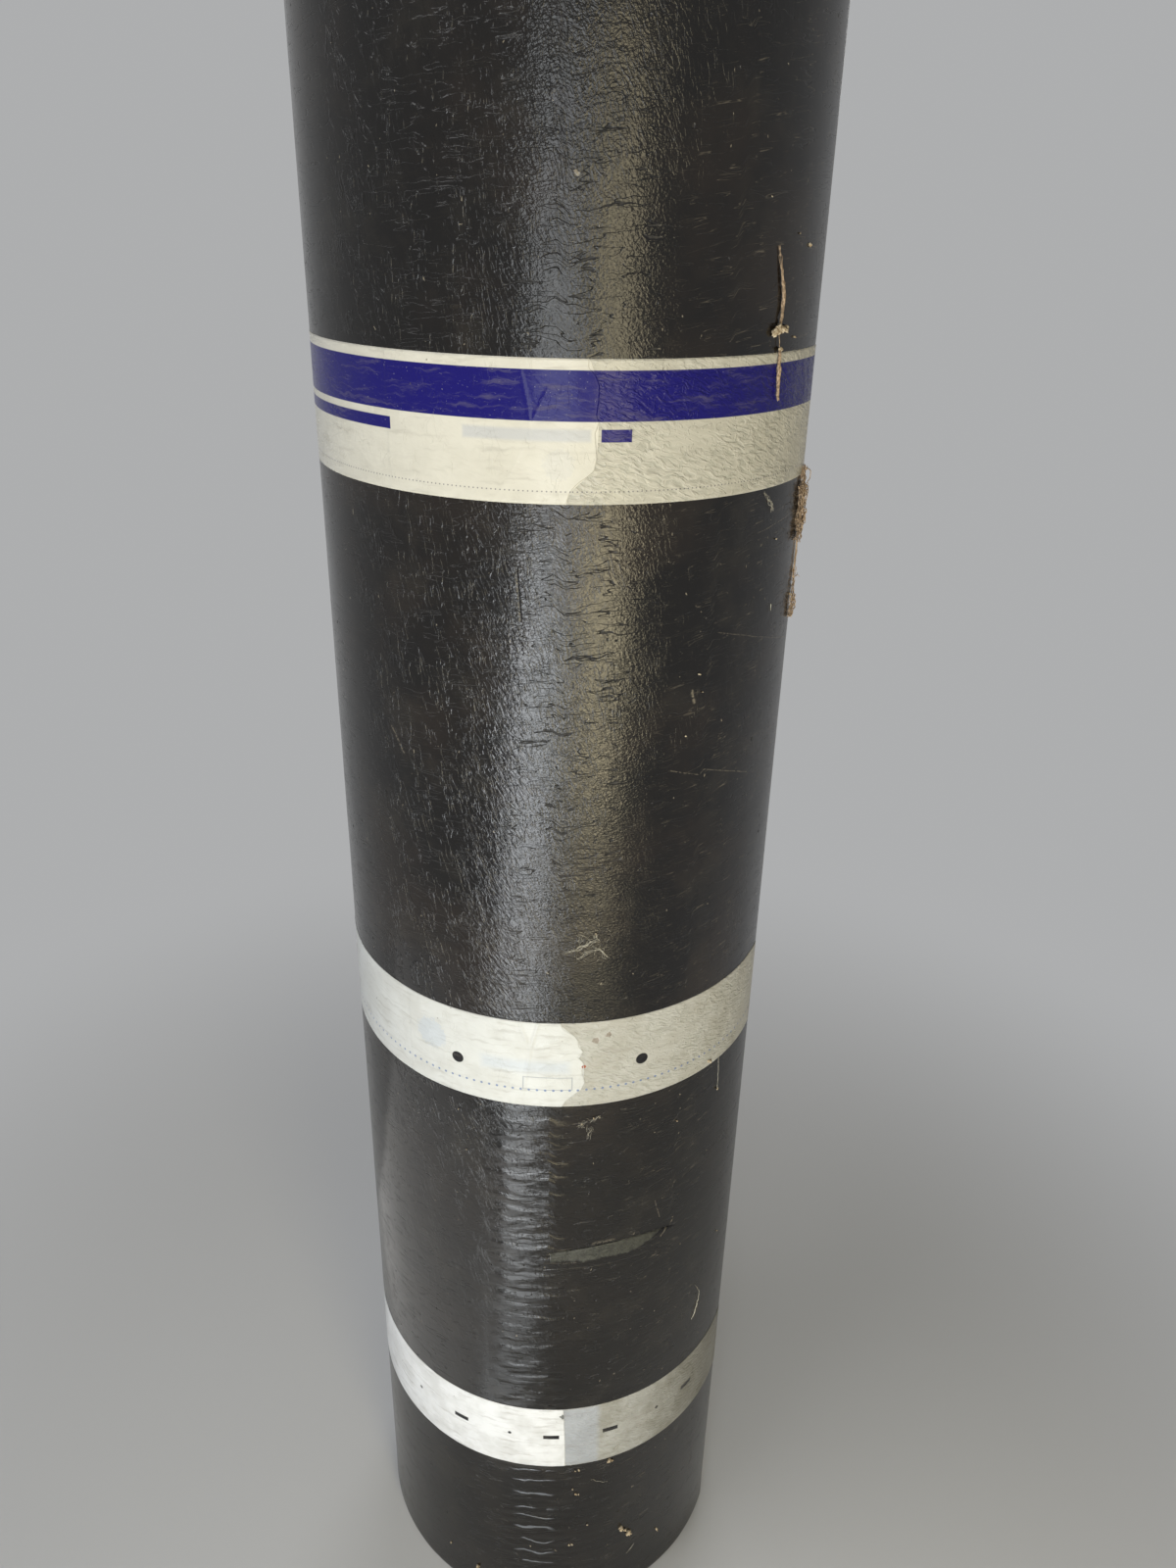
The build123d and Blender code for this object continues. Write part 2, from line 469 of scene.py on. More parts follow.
def dust_specks():
    """Specks of dust that cling to a surface, a haze of it, and the wisps that it leaves in fine
    scratches, from 0 to 1."""
    tree, nodes, given, result = node_tree(
        "dust_specks", "ShaderNodeTree", {"Vector": "Place", "Float": "Amount"}, {"Float": "Speck Haze Wisp"})
    place = nodes.scaled(given["Place"], 1000.0)
    shifted = nodes.vector("ADD", place, nodes.scaled(nodes.noise(place, 0.2, output="Color"), 4.0))
    cells = nodes.cells(nodes.stretched(shifted, 1.0, 0.55), 0.13)
    size = nodes.times(nodes.math("POWER", nodes.red_of(cells["Color"]), 6.0), 0.085, given["Amount"])
    lines = nodes.noise(nodes.stretched(nodes.turned(place, -0.14), 0.035, 0.42), 1.0, 1.5, 0.6)
    gaps = nodes.rise(nodes.noise(nodes.stretched(place, 0.11, 0.2), 1.0, 2.0, 0.6), 0.47, 0.66)
    nodes.feed(result["Speck"], nodes.math("LESS_THAN", cells["Distance"], size))
    nodes.feed(result["Haze"], nodes.rise(nodes.noise(place, 0.035, 4.0, 0.65), 0.48, 0.75))
    nodes.feed(result["Wisp"], nodes.times(nodes.crests(lines, 0.012), gaps))
    return tree


def stroke():
    """One straight mark from From to To, in metres on the UV map: 1 along its middle."""
    tree, nodes, given, result = node_tree(
        "stroke", "ShaderNodeTree", {"Vector": "Place From To", "Float": "Width"}, {"Float": "Mark"})
    along = nodes.vector("SUBTRACT", given["To"], given["From"])
    offset = nodes.vector("SUBTRACT", given["Place"], given["From"])
    reach = nodes.measure("DOT_PRODUCT", offset, along)
    length = nodes.measure("DOT_PRODUCT", along, along)
    share = nodes.made("ShaderNodeMath", {0: reach, 1: length}, operation="DIVIDE", use_clamp=True)
    gap = nodes.measure("DISTANCE", offset, nodes.scaled(along, share))
    nodes.feed(result["Mark"], nodes.rise(gap, given["Width"], 0.0))
    return tree


wrinkle_group, dust_group, stroke_group = film_wrinkles(), dust_specks(), stroke()


def on_sheet(azimuth, height_mm):
    """A place on the felt's UV map, from degrees and millimetres."""
    return (at_azimuth(azimuth) * front_radius, height_mm / 1000, 0)


# Marks on the film, from one (azimuth, height) to another: how wide in millimetres, and how strong
light_scratches = [
    ((-65.5, 563.8), (-39.4, 547), 0.4, 0.40), ((-54.3, 617), (-22, 600), 0.35, 0.30),
    ((-44, 654), (-30, 657), 0.35, 0.30), ((-60.4, 597), (-59.6, 592), 1.1, 0.75),
    ((-131.7, 571), (-128.2, 561), 0.9, 0.35), ((-79.4, 303.8), (-73.9, 303.8), 1.6, 0.26),
    ((-61.7, 321.7), (-59.8, 309), 0.5, 0.35), ((-59.0, 291.5), (-55.2, 299.4), 0.8, 0.5),
    ((-93, 289.3), (-84, 288.4), 0.4, 0.2),
]
dark_creases = [((-99.3, 647), (-98.5, 627), 0.7, 1.0), ((-93, 285), (-64.6, 284.4), 0.5, 0.6)]


def strokes(nodes, place, marks):
    """All of a list's marks in one mask."""
    masks = []
    for start, end, width, strength in marks:
        ends = {"From": on_sheet(*start), "To": on_sheet(*end)}
        mark = nodes.group(stroke_group, Place=place, Width=width / 1000, **ends)[0]
        masks.append(nodes.times(mark, strength))
    return nodes.most(*masks)


def new_material(name):
    """An empty node material: its node adder, and its Principled shader joined to the output."""
    material = bpy.data.materials.new(name)
    material.use_nodes = True
    material.node_tree.nodes.clear()
    nodes = Nodes(material.node_tree)
    shader = nodes.add("ShaderNodeBsdfPrincipled")
    output = nodes.add("ShaderNodeOutputMaterial")
    nodes.feed(output.inputs["Surface"], shader.outputs[0])
    return material, nodes, shader.inputs


film_black = (0.0042, 0.0035, 0.0031, 1)
film_brown = (0.011, 0.0080, 0.0060, 1)
# Dust colour, also used for the painted highlight along the sheet's outer end
dust_and_sheen_tan = (0.23, 0.20, 0.15, 1)
bare_olive = (0.036, 0.037, 0.028, 1)
bar_highlight_blue = (0.19, 0.205, 0.235, 1)


def burn_off_film():
    """Black bitumen under a thin wrinkled film, satin, with dust in its scratches."""
    material, nodes, shader = new_material("burn_off_film")
    place = nodes.made("ShaderNodeUVMap", uv_map="flat")
    axes = nodes.axes(place)
    u, v = axes["X"], axes["Y"]

    def between(first, second, soft=8):
        """1 between two azimuths."""
        edges = [at_azimuth(azimuth + shift) * front_radius
                 for azimuth in (first, second) for shift in (-soft, soft)]
        return nodes.times(nodes.rise(u, edges[0], edges[1]), nodes.rise(u, edges[3], edges[2]))

    patch = nodes.noise(place, 9.0, 3.0, 0.6)
    upper = nodes.rise(v, 0.28, 0.44)
    patchy = nodes.rise(patch, 0.36, 0.58)
    ridged = nodes.times(between(-140, -106, 5), nodes.times_plus(upper, 0.8, 0.2))
    ridged = nodes.most(ridged, nodes.times(patchy, 0.25))
    grained = nodes.times(between(-113, -95, 5), nodes.times_plus(upper, 0.8, 0.2))
    grained = nodes.most(grained, nodes.times(between(-98, -64, 6), nodes.times_plus(patchy, 0.35, 0.15)))
    grained = nodes.most(grained, nodes.times_plus(patchy, 0.10, 0.04))
    pebbled = nodes.times(between(-100, -62, 6), nodes.times_plus(upper, 0.85, 0.15))
    creased = nodes.most(between(-101, -72, 4), 0.3)
    low = nodes.rise(v, 0.40, 0.37)
    folded = nodes.most(nodes.times(between(-106, -88, 4), low), 0.04)
    at_foot = nodes.rise(v, 0.132, 0.124)
    smoother = nodes.times_plus(at_foot, -0.75, 1.0)
    ridged, grained, folded = (nodes.times(zone, smoother) for zone in (ridged, grained, folded))
    barred = nodes.times(between(-101, -90, 2), at_foot)
    wrinkles = nodes.group(wrinkle_group, Place=place, Ridges=ridged, Grain=grained, Pebble=pebbled,
                           Creases=creased, Folds=folded, Bars=barred)
    fibres = nodes.scaled(place, 1000)
    light = strokes(nodes, place, light_scratches)
    light = nodes.times(light, nodes.rise(nodes.noise(fibres, 0.9, 2.0), 0.36, 0.55))
    dark = strokes(nodes, place, dark_creases)
    dust = nodes.group(dust_group, Place=place, Amount=0.48)
    wisps = nodes.times(dust["Wisp"], nodes.times_plus(between(-66, -24, 8), 0.30, 0.05))

    # The cut: bare bitumen between a painted shadow along its top and an outline that narrows at both ends
    share = nodes.made("ShaderNodeMapRange", {0: u, 1: gouge_left, 2: gouge_right})
    arch = nodes.math("POWER", nodes.times_plus(share, 2.0, -1.0), 2.0)
    wobble = nodes.minus(nodes.noise(fibres, 0.35, 3.0, 0.6), 0.5)
    top = nodes.times_plus(arch, -gouge_arch, gouge_top)
    below = nodes.minus(top, v)
    high = nodes.least(nodes.rise(share, 0.0, 0.30, gouge_high * 0.65, gouge_high),
                       nodes.rise(share, 0.62, 1.0, gouge_high, 0.0004))
    high = nodes.times_plus(wobble, 0.0035, high)
    left = nodes.minus(high, below)
    inside = nodes.times(nodes.rise(share, 0.0, 0.02), nodes.rise(share, 1.0, 0.98))
    bare = nodes.times(nodes.rise(below, 0.0002, 0.0006), nodes.rise(left, -0.0004, 0.0014))
    bare = nodes.times(bare, inside)
    from_slit = nodes.gap(below, slit_width)
    painted_slit_shadow = nodes.times(nodes.rise(from_slit, 2 * slit_width, slit_width), inside)
    # The pale strip along the sheet's outer end is partly dust on its rounded corner and partly a painted
    # highlight for the rim of light that the corner catches
    end = full_turn * front_radius
    frayed = nodes.times(nodes.rise(u, end - 0.0024, end - 0.0014), 0.22)

    browned = nodes.rise(nodes.noise(place, 14.0, 4.0, 0.6), 0.42, 0.68)
    browned = nodes.times(browned, nodes.times_plus(upper, 0.75, 0.25))
    colour = nodes.mix(browned, film_black, film_brown)
    colour = nodes.mix(nodes.times(dust["Haze"], 0.03), colour, dust_and_sheen_tan)
    colour = nodes.mix(nodes.times(bare, nodes.times_plus(wobble, 2.0, 0.8)), colour, bare_olive)
    colour = nodes.mix(nodes.most(light, wisps, nodes.times(dust["Speck"], 0.8), frayed), colour, dust_and_sheen_tan)
    # Painted highlight: the bars across the foot are lightened to a cool bluish grey where they catch the
    # light
    colour = nodes.mix(nodes.times(wrinkles["Bar"], 0.7), colour, bar_highlight_blue)
    # Painted shadow: the band under the cut's top edge is made near black
    colour = nodes.mix(painted_slit_shadow, colour, (0.001, 0.001, 0.001, 1))
    nodes.feed(shader["Base Color"], colour)

    rough = nodes.blend(patch, 0.14, 0.23)
    dull = nodes.most(nodes.most(bare, light), nodes.most(painted_slit_shadow, wrinkles["Hollow"]))
    rough = nodes.times_plus(dull, 0.4, rough)
    nodes.feed(shader["Roughness"], rough)
    shader["IOR"].default_value = 1.48

    height = nodes.times_plus(light, 0.05, wrinkles["Height"])
    height = nodes.times_plus(dark, -0.16, height)
    chips = nodes.noise(fibres, 0.8, 3.0)
    height = nodes.times_plus(nodes.times(bare, chips), 0.3, height)
    nodes.bump(shader, height, 0.001, 1.0)
    return material


def cut_bitumen():
    """The sheet's cut edge: dull bitumen with the pale fleece carrier as a line in its middle."""
    material, nodes, shader = new_material("cut_bitumen")
    place = nodes.add("ShaderNodeTexCoord").outputs["Object"]
    across = nodes.add("ShaderNodeAttribute", attribute_name="across").outputs["Fac"]
    grit = nodes.solid_noise(place, 420.0, 3.0)
    wander = nodes.times_plus(grit, 0.16, across)
    from_middle = nodes.gap(wander, 0.66)
    carrier = nodes.times(nodes.rise(from_middle, 0.10, 0.02), nodes.rise(grit, 0.40, 0.55))
    worn = nodes.rise(nodes.solid_noise(place, 60.0, 4.0), 0.45, 0.7)
    colour = nodes.mix(nodes.times(worn, 0.25), (0.012, 0.0115, 0.011, 1), (0.12, 0.11, 0.095, 1))
    colour = nodes.paint(colour, (0.30, 0.28, 0.23, 1), carrier, 0.5)
    nodes.feed(shader["Base Color"], colour)
    nodes.feed(shader["Roughness"], nodes.blend(worn, 0.62, 0.85))
    nodes.bump(shader, grit, 0.0005, 0.8)
    return material


def sanded_underside():
    """The side that lies inwards, dusted with fine sand and talc so that the turns don't stick."""
    material, nodes, shader = new_material("sanded_underside")
    place = nodes.add("ShaderNodeTexCoord").outputs["Object"]
    grains = nodes.add("ShaderNodeTexVoronoi", {"Vector": place, "Scale": 1500.0}).outputs
    patches = nodes.solid_noise(place, 35.0, 5.0)
    tone = nodes.red_of(grains["Color"])
    colour = nodes.mix(nodes.times(nodes.rise(patches, 0.35, 0.65), tone), (0.02, 0.019, 0.018, 1),
                       (0.16, 0.15, 0.135, 1))
    nodes.feed(shader["Base Color"], colour)
    shader["Roughness"].default_value = 0.8
    nodes.bump(shader, grains["Distance"], 0.0003, 0.7)
    return material


def slit_painted_shade():
    """Painted shade for the inside of the slit: near black, and with no reflection."""
    material, nodes, shader = new_material("slit_painted_shade")
    shader["Base Color"].default_value = (0.002, 0.002, 0.002, 1)
    shader["Roughness"].default_value = 1.0
    shader["Specular IOR Level"].default_value = 0.0
    return material


felt_finishes = [burn_off_film(), cut_bitumen(), sanded_underside(), slit_painted_shade()]


def new_object(name, data):
    thing = bpy.data.objects.new(name, data)
    bpy.context.scene.collection.objects.link(thing)
    return thing


def new_piece(name, mesh, materials, slot, *nodes_replaced):
    """A piece of the roll: its object at the origin, riding with the CAD model."""
    piece = new_object(name, mesh)
    for material in materials:
        mesh.materials.append(material)
    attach(piece, "root")
    if nodes_replaced:
        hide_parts(*nodes_replaced)


new_piece("felt_outer_turn", felt_mesh, felt_finishes, "felt", "felt_roll")


# The turns inside the outer one. They are the rest of the same sheet, wound from the bore outwards, so
# only their cut edges show, at the top and the foot. The turns have slipped a little past each other.
turn_count = 16
steps_per_turn = 90
slip = 0.0008
inner_turns = turn_count - 1
bore_radius = front_radius - turn_count * sheet_thickness


def coil_tree(cut_edge_material, inside_material):
    """A node tree that winds a sheet into a spiral of half turns about two centres."""
    tree, nodes, given, result = node_tree(
        "wound_sheet", "GeometryNodeTree",
        {"Int": "Turns Steps", "Float": "Pitch Gap Bore Shift Start Height Slip Corner"},
        {"Geometry": "Geometry"})

    index = nodes.made("GeometryNodeInputIndex")
    wound = nodes.over(index, given["Steps"])
    turn = nodes.math("FLOOR", nodes.plus(wound, 0.0001))
    share = nodes.minus(wound, turn)
    at_front = nodes.math("GREATER_THAN", share, 0.4999)
    side = nodes.times_plus(at_front, 2.0, -1.0)
    centre = nodes.times(side, given["Shift"])
    inner = nodes.plus(nodes.times(turn, given["Pitch"]), given["Bore"])
    inner = nodes.plus(inner, nodes.times(nodes.minus(at_front, 1.0),
                                              nodes.over(given["Pitch"], 2.0)))
    middle = nodes.plus(inner, nodes.over(nodes.plus(given["Pitch"], given["Gap"]), 2.0))
    angle = nodes.times_plus(share, full_turn, given["Start"])
    x = nodes.plus(nodes.times(centre, nodes.math("COSINE", given["Start"])),
                  nodes.times(middle, nodes.math("COSINE", angle)))
    y = nodes.plus(nodes.times(centre, nodes.math("SINE", given["Start"])),
                  nodes.times(middle, nodes.math("SINE", angle)))
    slipped = nodes.made("ShaderNodeTexNoise", {"W": nodes.times(wound, 1.3), "Detail": 2.0},
                         noise_dimensions="1D")
    low = nodes.times(nodes.minus(slipped, 0.5), given["Slip"])
    z = nodes.plus(nodes.over(given["Height"], 2.0), low)
    place = nodes.made("ShaderNodeCombineXYZ", {0: x, 1: y, 2: z})

    count = nodes.plus(nodes.times(given["Turns"], given["Steps"]), 1.0)
    line = nodes.made("GeometryNodeMeshLine", {"Count": count})
    wind = nodes.made("GeometryNodeSetPosition", {"Geometry": line, "Position": place})
    path = nodes.made("GeometryNodeMeshToCurve", {"Mesh": wind})
    path = nodes.made("GeometryNodeSetCurveNormal", {"Curve": path}, mode="Z_UP")

    thick = nodes.minus(given["Pitch"], given["Gap"])
    tall = nodes.minus(given["Height"], given["Slip"])
    section = nodes.made("GeometryNodeCurvePrimitiveQuadrilateral", {"Width": thick, "Height": tall})
    section = nodes.made("GeometryNodeFilletCurve", {
        "Curve": section, "Count": 3, "Radius": given["Corner"]}, mode="POLY")
    sideways = nodes.axes(nodes.made("GeometryNodeInputPosition"))[0]
    across = nodes.plus(nodes.over(sideways, thick), 0.5)
    section = nodes.made("GeometryNodeStoreNamedAttribute", {
        "Geometry": section, "Name": "across", "Value": across}, data_type="FLOAT", domain="POINT")
    sheet = nodes.made("GeometryNodeCurveToMesh", {
        "Curve": path, "Profile Curve": section, "Fill Caps": True})

    up = nodes.axes(nodes.made("GeometryNodeInputNormal"))[2]
    on_end = nodes.math("GREATER_THAN", nodes.math("ABSOLUTE", up), 0.3)
    sheet = nodes.made("GeometryNodeRealizeInstances", {"Geometry": sheet})
    sheet = nodes.made("GeometryNodeSetMaterial", {"Geometry": sheet, "Material": inside_material})
    sheet = nodes.made("GeometryNodeSetMaterial", {
        "Geometry": sheet, "Selection": on_end, "Material": cut_edge_material})
    nodes.feed(result["Geometry"], sheet)
    return tree


def plain_mesh(name, maker):
    """The mesh that an object comes out as. The object itself is removed."""
    ready = bpy.context.evaluated_depsgraph_get()
    mesh = bpy.data.meshes.new_from_object(maker.evaluated_get(ready), depsgraph=ready)
    bpy.data.objects.remove(maker)
    mesh.name = name
    return mesh


def made_by_nodes(name, tree, settings, given_mesh=None):
    """The plain mesh that a node tree makes, with its inputs set by name."""
    maker = new_object(name, given_mesh or bpy.data.meshes.new(name))
    modifier = maker.modifiers.new(name, "NODES")
    modifier.node_group = tree
    for item in tree.interface.items_tree:
        if item.in_out == "INPUT" and item.name in settings:
            modifier[item.identifier] = settings[item.name]
    return plain_mesh(name, maker)


coil_mesh = made_by_nodes("felt_inner_turns", coil_tree(felt_finishes[cut_edge], felt_finishes[underside]), {
    "Turns": inner_turns, "Steps": steps_per_turn, "Pitch": sheet_thickness, "Gap": turn_gap,
    "Bore": bore_radius, "Shift": centre_shift, "Start": sheet_end, "Height": roll_height, "Slip": slip,
    "Corner": edge_radius})
new_piece("felt_inner_turns", coil_mesh, [], "felt", "felt_roll")


# The bands of packing tape. Each is one strip of printed plastic film, stuck once round the felt and on
# over its own start, up to a loose end that was torn, sawn off on a dispenser or cut with a knife.
film_thickness = 0.0001
glue_line = 0.00002
peeled_lift = 0.00012              # how far a loose end stands off
film_rows = 0.0009
hangs_free, lies_flat = 0.27, 0.45   # how far past the sheet's end the tape does so, in radians

# Each band's start and tip in degrees of azimuth, and the outline of its loose end: how many
# millimetres it is short of the tip, at each height above the band's foot
tapes = {
    "tape_band_upper": {"start": -128.0, "tip": -83.4, "outline": [
        (0, 11.5), (4.5, 10), (7.5, 7.5), (10, 4), (12, 1.5), (16, 0.6), (21, 1.0), (25, 1.4), (29, 0),
        (31, 1.0), (36, 0.4), (41, 0.2), (44.5, 1.6), (47, 4.2), (50, 4.0)]},
    "tape_band_middle": {"start": -131.0, "tip": -82.9, "outline": [
        (0, 10.5), (3.9, 8.5), (10, 1.6), (13.8, 0), (21, 1.6), (24.7, 0.7), (26.5, 1.6), (28.9, 3.9),
        (31.5, 0.9), (34.5, 3.2), (38, 3.5), (40.7, 5.0), (44.7, 10.4), (48, 11.9)]},
    "tape_band_lower": {"start": -129.0, "tip": -85.8, "outline": [(0, 0.2), (20, 0.6), (48, 1.8)]},
}

# Folds in the film, as (azimuth, millimetres above the band's foot) along each, its height and its
# width in millimetres
folds = {
    "tape_band_upper": [
        ([(-98.4, 45.6), (-96.9, 33.4), (-96.7, 27.8), (-96.5, 22.1)], 0.22, 0.45),
        ([(-93.0, 40.5), (-94.7, 34.5), (-96.4, 28.3)], 0.18, 0.45),
        ([(-98.4, 18.3), (-99.9, 12.3), (-101.9, 6.2), (-104.0, 0.0)], 0.16, 0.4),
        ([(-107.2, 4.1), (-108.2, 1.1)], 0.12, 0.5),
        ([(-29.9, 46.1), (-28.0, 37.0), (-26.8, 29.1)], 0.12, 0.6),
    ],
    "tape_band_middle": [
        ([(-96.6, 32.9), (-107.8, 46.4)], 0.30, 0.7), ([(-96.6, 32.9), (-102.9, 37.4)], 0.32, 0.7),
        ([(-96.6, 32.9), (-99.2, 46.2)], 0.36, 0.7), ([(-96.6, 32.9), (-94.6, 47.6)], 0.42, 0.8),
        ([(-96.6, 32.9), (-87.3, 40.2)], 0.34, 0.7),
        ([(-96.6, 32.9), (-97.5, 20.0), (-98.6, 6.0)], 0.22, 0.8),
        ([(-94.6, 22.0), (-86.0, 33.0)], 0.22, 0.6),
    ],
    "tape_band_lower": [
        ([(-114.6, 21.0), (-113.2, 10.0)], 0.12, 0.4), ([(-103.6, 19.0), (-102.6, 11.0)], 0.12, 0.5),
        ([(-88.0, 36.0), (-86.0, 47.0)], 0.1, 0.5),
    ],
}


def beside_coil(unwound, lift, height):
    """Points lift outside the roll. Past the sheet's outer end the tape runs straight to the half
    behind it, which it meets where a line from the sheet's corner touches that half."""
    leaves = math.acos(back_radius / (front_radius + 2 * centre_shift))
    on_roll = on_last_turn(unwound % full_turn, -lift, height)
    past_end = unwound - full_turn
    span = (past_end >= 0) & (past_end < leaves)
    share = np.clip(past_end / leaves, 0, 1)
    facing = sheet_end + leaves * np.clip(share * 8, 0, 1)
    corner = np.array([(centre_shift + front_radius) * math.cos(sheet_end),
                       (centre_shift + front_radius) * math.sin(sheet_end)])
    landing = np.array([back_radius * math.cos(sheet_end + leaves) - centre_shift * math.cos(sheet_end),
                        back_radius * math.sin(sheet_end + leaves) - centre_shift * math.sin(sheet_end)])
    x = corner[0] + share * (landing[0] - corner[0]) + lift * np.cos(facing)
    y = corner[1] + share * (landing[1] - corner[1]) + lift * np.sin(facing)
    across = np.stack(np.broadcast_arrays(x, y, height), axis=-1)
    return np.where(span[..., None], across, on_roll)


def from_line(u, v, line):
    """How far places on a flat strip are from a line of straight stretches, in metres."""
    nearest = np.full(np.broadcast(u, v).shape, 1.0)
    for (u0, v0), (u1, v1) in zip(line[:-1], line[1:]):
        reach = ((u - u0) * (u1 - u0) + (v - v0) * (v1 - v0)) / ((u1 - u0) ** 2 + (v1 - v0) ** 2)
        reach = np.clip(reach, 0, 1)
        nearest = np.minimum(nearest, np.hypot(u - u0 - reach * (u1 - u0), v - v0 - reach * (v1 - v0)))
    return nearest


def tape_mesh(node, start, tip, outline):
    """The strip of film, as a closed mesh. On its UV map, U is how far it goes round and V how high."""
    low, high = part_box(node)
    width = high.z - low.z
    begins = at_azimuth(start)
    ends = at_azimuth(tip) + full_turn
    leaves_end = full_turn + 0.29
    over_start = begins + full_turn
    columns = spaced(begins, [(end, step / front_radius) for end, step in (
        (at_azimuth(-86), 0.003), (full_turn - 0.03, 0.0013), (full_turn + 0.03, 0.0004), (leaves_end, 0.003),
        (full_turn + at_azimuth(-172), 0.005), (over_start - 0.03, 0.0013), (over_start + 0.03, 0.0004),
        (full_turn + at_azimuth(-108), 0.0013), (ends, 0.0006))])
    rows = spaced(0, [(width, film_rows)])
    heights, short = np.array(outline).T / 1000
    squeeze = rise(columns, ends - 0.030 / front_radius, ends)[:, None]
    unwound = columns[:, None] - squeeze * np.interp(rows, heights, short)[None, :] / front_radius
    height = np.broadcast_to(low.z + rows, unwound.shape)

    relief = felt_relief(unwound % full_turn, height)
    free = rise(unwound, full_turn, full_turn + hangs_free)
    free = free * rise(unwound, full_turn + lies_flat, full_turn + hangs_free)
    relief = relief * (1 - free)
    laps = rise(unwound, over_start - 0.0005 / front_radius, over_start + 0.0010 / front_radius)
    lift = glue_line + laps * (film_thickness + glue_line) - relief
    along = unwound * front_radius
    to_end = ends * front_radius - along
    peeled = rise(to_end, 0.006, 0.0) * noise_lift(along, height, 0.006, 0.006, 21)
    lift = lift + peeled_lift * peeled
    raised = 0 * lift
    for line, fold_height, fold_width in folds[node]:
        places = [((at_azimuth(azimuth) + full_turn * (azimuth < -84)) * front_radius, v / 1000)
                  for azimuth, v in line]
        gap = from_line(along, height - low.z, places)
        raised = np.maximum(raised, fold_height / 1000 * np.exp(-(gap * 1000 / fold_width) ** 2))
    lift = np.minimum(lift + raised, room_before(unwound) - film_thickness)

    outer = beside_coil(unwound, lift + film_thickness, height)
    inner = beside_coil(unwound, lift, height)[:, ::-1]
    points = np.concatenate([outer, inner], axis=1)
    around = np.concatenate([rows, width + rows, [2 * width]])[None, :]
    along = np.concatenate([along, along[:, ::-1], along[:, :1]], axis=1)
    return tube_mesh(node, points, along, around)


def film_texture():
    """What shows in the face of packing tape: fine wrinkles, the felt's roughness under a single
    layer, and dirt in streaks. Place is the UV map, in metres. Height is in millimetres."""
    tree, nodes, given, result = node_tree(
        "tape_film", "ShaderNodeTree", {"Vector": "Place", "Float": "Single"},
        {"Float": "Height Dirt Cloud Touch"})
    place = nodes.wandering(nodes.scaled(given["Place"], 1000.0), 0.15, 3.0)
    single = given["Single"]
    foil = nodes.noise(nodes.stretched(nodes.turned(place, 0.33), 0.20, 0.72), 1.0, 2.0, 0.5, 0.25)
    rough_part = nodes.rise(nodes.noise(place, 0.045), 0.36, 0.60, 0.25, 1.0)
    blisters = nodes.rise(nodes.noise(place, 0.50, 1.0), 0.62, 0.72)
    wrinkle = nodes.crests(nodes.noise(nodes.stretched(place, 0.35, 0.12), 1.0, 1.0, 0.5, 0.5), 0.02)
    wrinkle = nodes.times(wrinkle, nodes.rise(nodes.noise(place, 0.09), 0.5, 0.62))
    height = nodes.times_plus(foil, 0.04, nodes.times(foil, rough_part, single, 0.62))
    height = nodes.times_plus(nodes.times(blisters, single), 0.12, height)
    nodes.feed(result["Height"], nodes.times_plus(wrinkle, 0.07, height))
    streaks = nodes.noise(nodes.stretched(place, 0.05, 0.4), 1.0, 4.0, 0.65)
    nodes.feed(result["Dirt"], nodes.rise(streaks, 0.50, 0.78))
    nodes.feed(result["Cloud"], nodes.rise(nodes.noise(place, 0.055, 3.0, 0.6), 0.35, 0.7))
    # The last output is painted shade for the hollows of the foil wrinkles, where the film also lies against
    # the felt in one layer
    nodes.feed(result["Touch"], nodes.times(nodes.rise(foil, 0.54, 0.36), rough_part, single))
    return tree


def soft_box():
    """1 inside a rectangle on the UV map, from corner Low to corner High, in metres."""
    tree, nodes, given, result = node_tree(
        "box_mark", "ShaderNodeTree", {"Vector": "Place Low High", "Float": "Soft"}, {"Float": "Mark"})
    place, low, high = (nodes.axes(given[name]) for name in ("Place", "Low", "High"))
    inside = nodes.least(*(
        nodes.least(nodes.minus(place[axis], low[axis]), nodes.minus(high[axis], place[axis]))
        for axis in (0, 1)))
    soft = given["Soft"]
    nodes.feed(result["Mark"], nodes.rise(inside, nodes.times(soft, -0.5), nodes.times(soft, 0.5)))
    return tree


film_group, box_group = film_texture(), soft_box()
crisp, blurred = 0.0003, 0.0016


def on_tape(azimuth, above_foot_mm, lap=False):
    """A place on a tape's UV map. Past the start of its second layer the tape has gone once more round."""
    turned_here = at_azimuth(azimuth) + (full_turn if lap else 0)
    return (turned_here * front_radius, above_foot_mm / 1000, 0)


def box_mark(nodes, place, low, high, soft=crisp):
    return nodes.group(box_group, Place=place, Low=low, High=high, Soft=soft)[0]


def round_mark(nodes, place, centre, radius_mm, ragged=0.0):
    """A dot, or with ragged edges a smear."""
    gap = nodes.measure("DISTANCE", place, centre)
    if ragged:
        noise = nodes.noise(nodes.scaled(place, 1000), 0.7, 2.0, 0.6)
        gap = nodes.times_plus(nodes.minus(noise, 0.5), ragged * radius_mm / 1000, gap)
    return nodes.rise(gap, radius_mm / 1000 + 0.00015, radius_mm / 1000 - 0.00015)


def dotted_row(nodes, place, height_mm, pitch_mm, radius_mm):
    """A row of small dots all along the tape."""
    axes = nodes.axes(place)
    beside = nodes.math("PINGPONG", axes[0], pitch_mm / 2000)
    above = nodes.minus(axes[1], height_mm / 1000)
    gap = nodes.math("SQRT", nodes.times_plus(beside, beside, nodes.times(above, above)))
    return nodes.rise(gap, radius_mm / 1000 + 0.00012, radius_mm / 1000 - 0.00012)


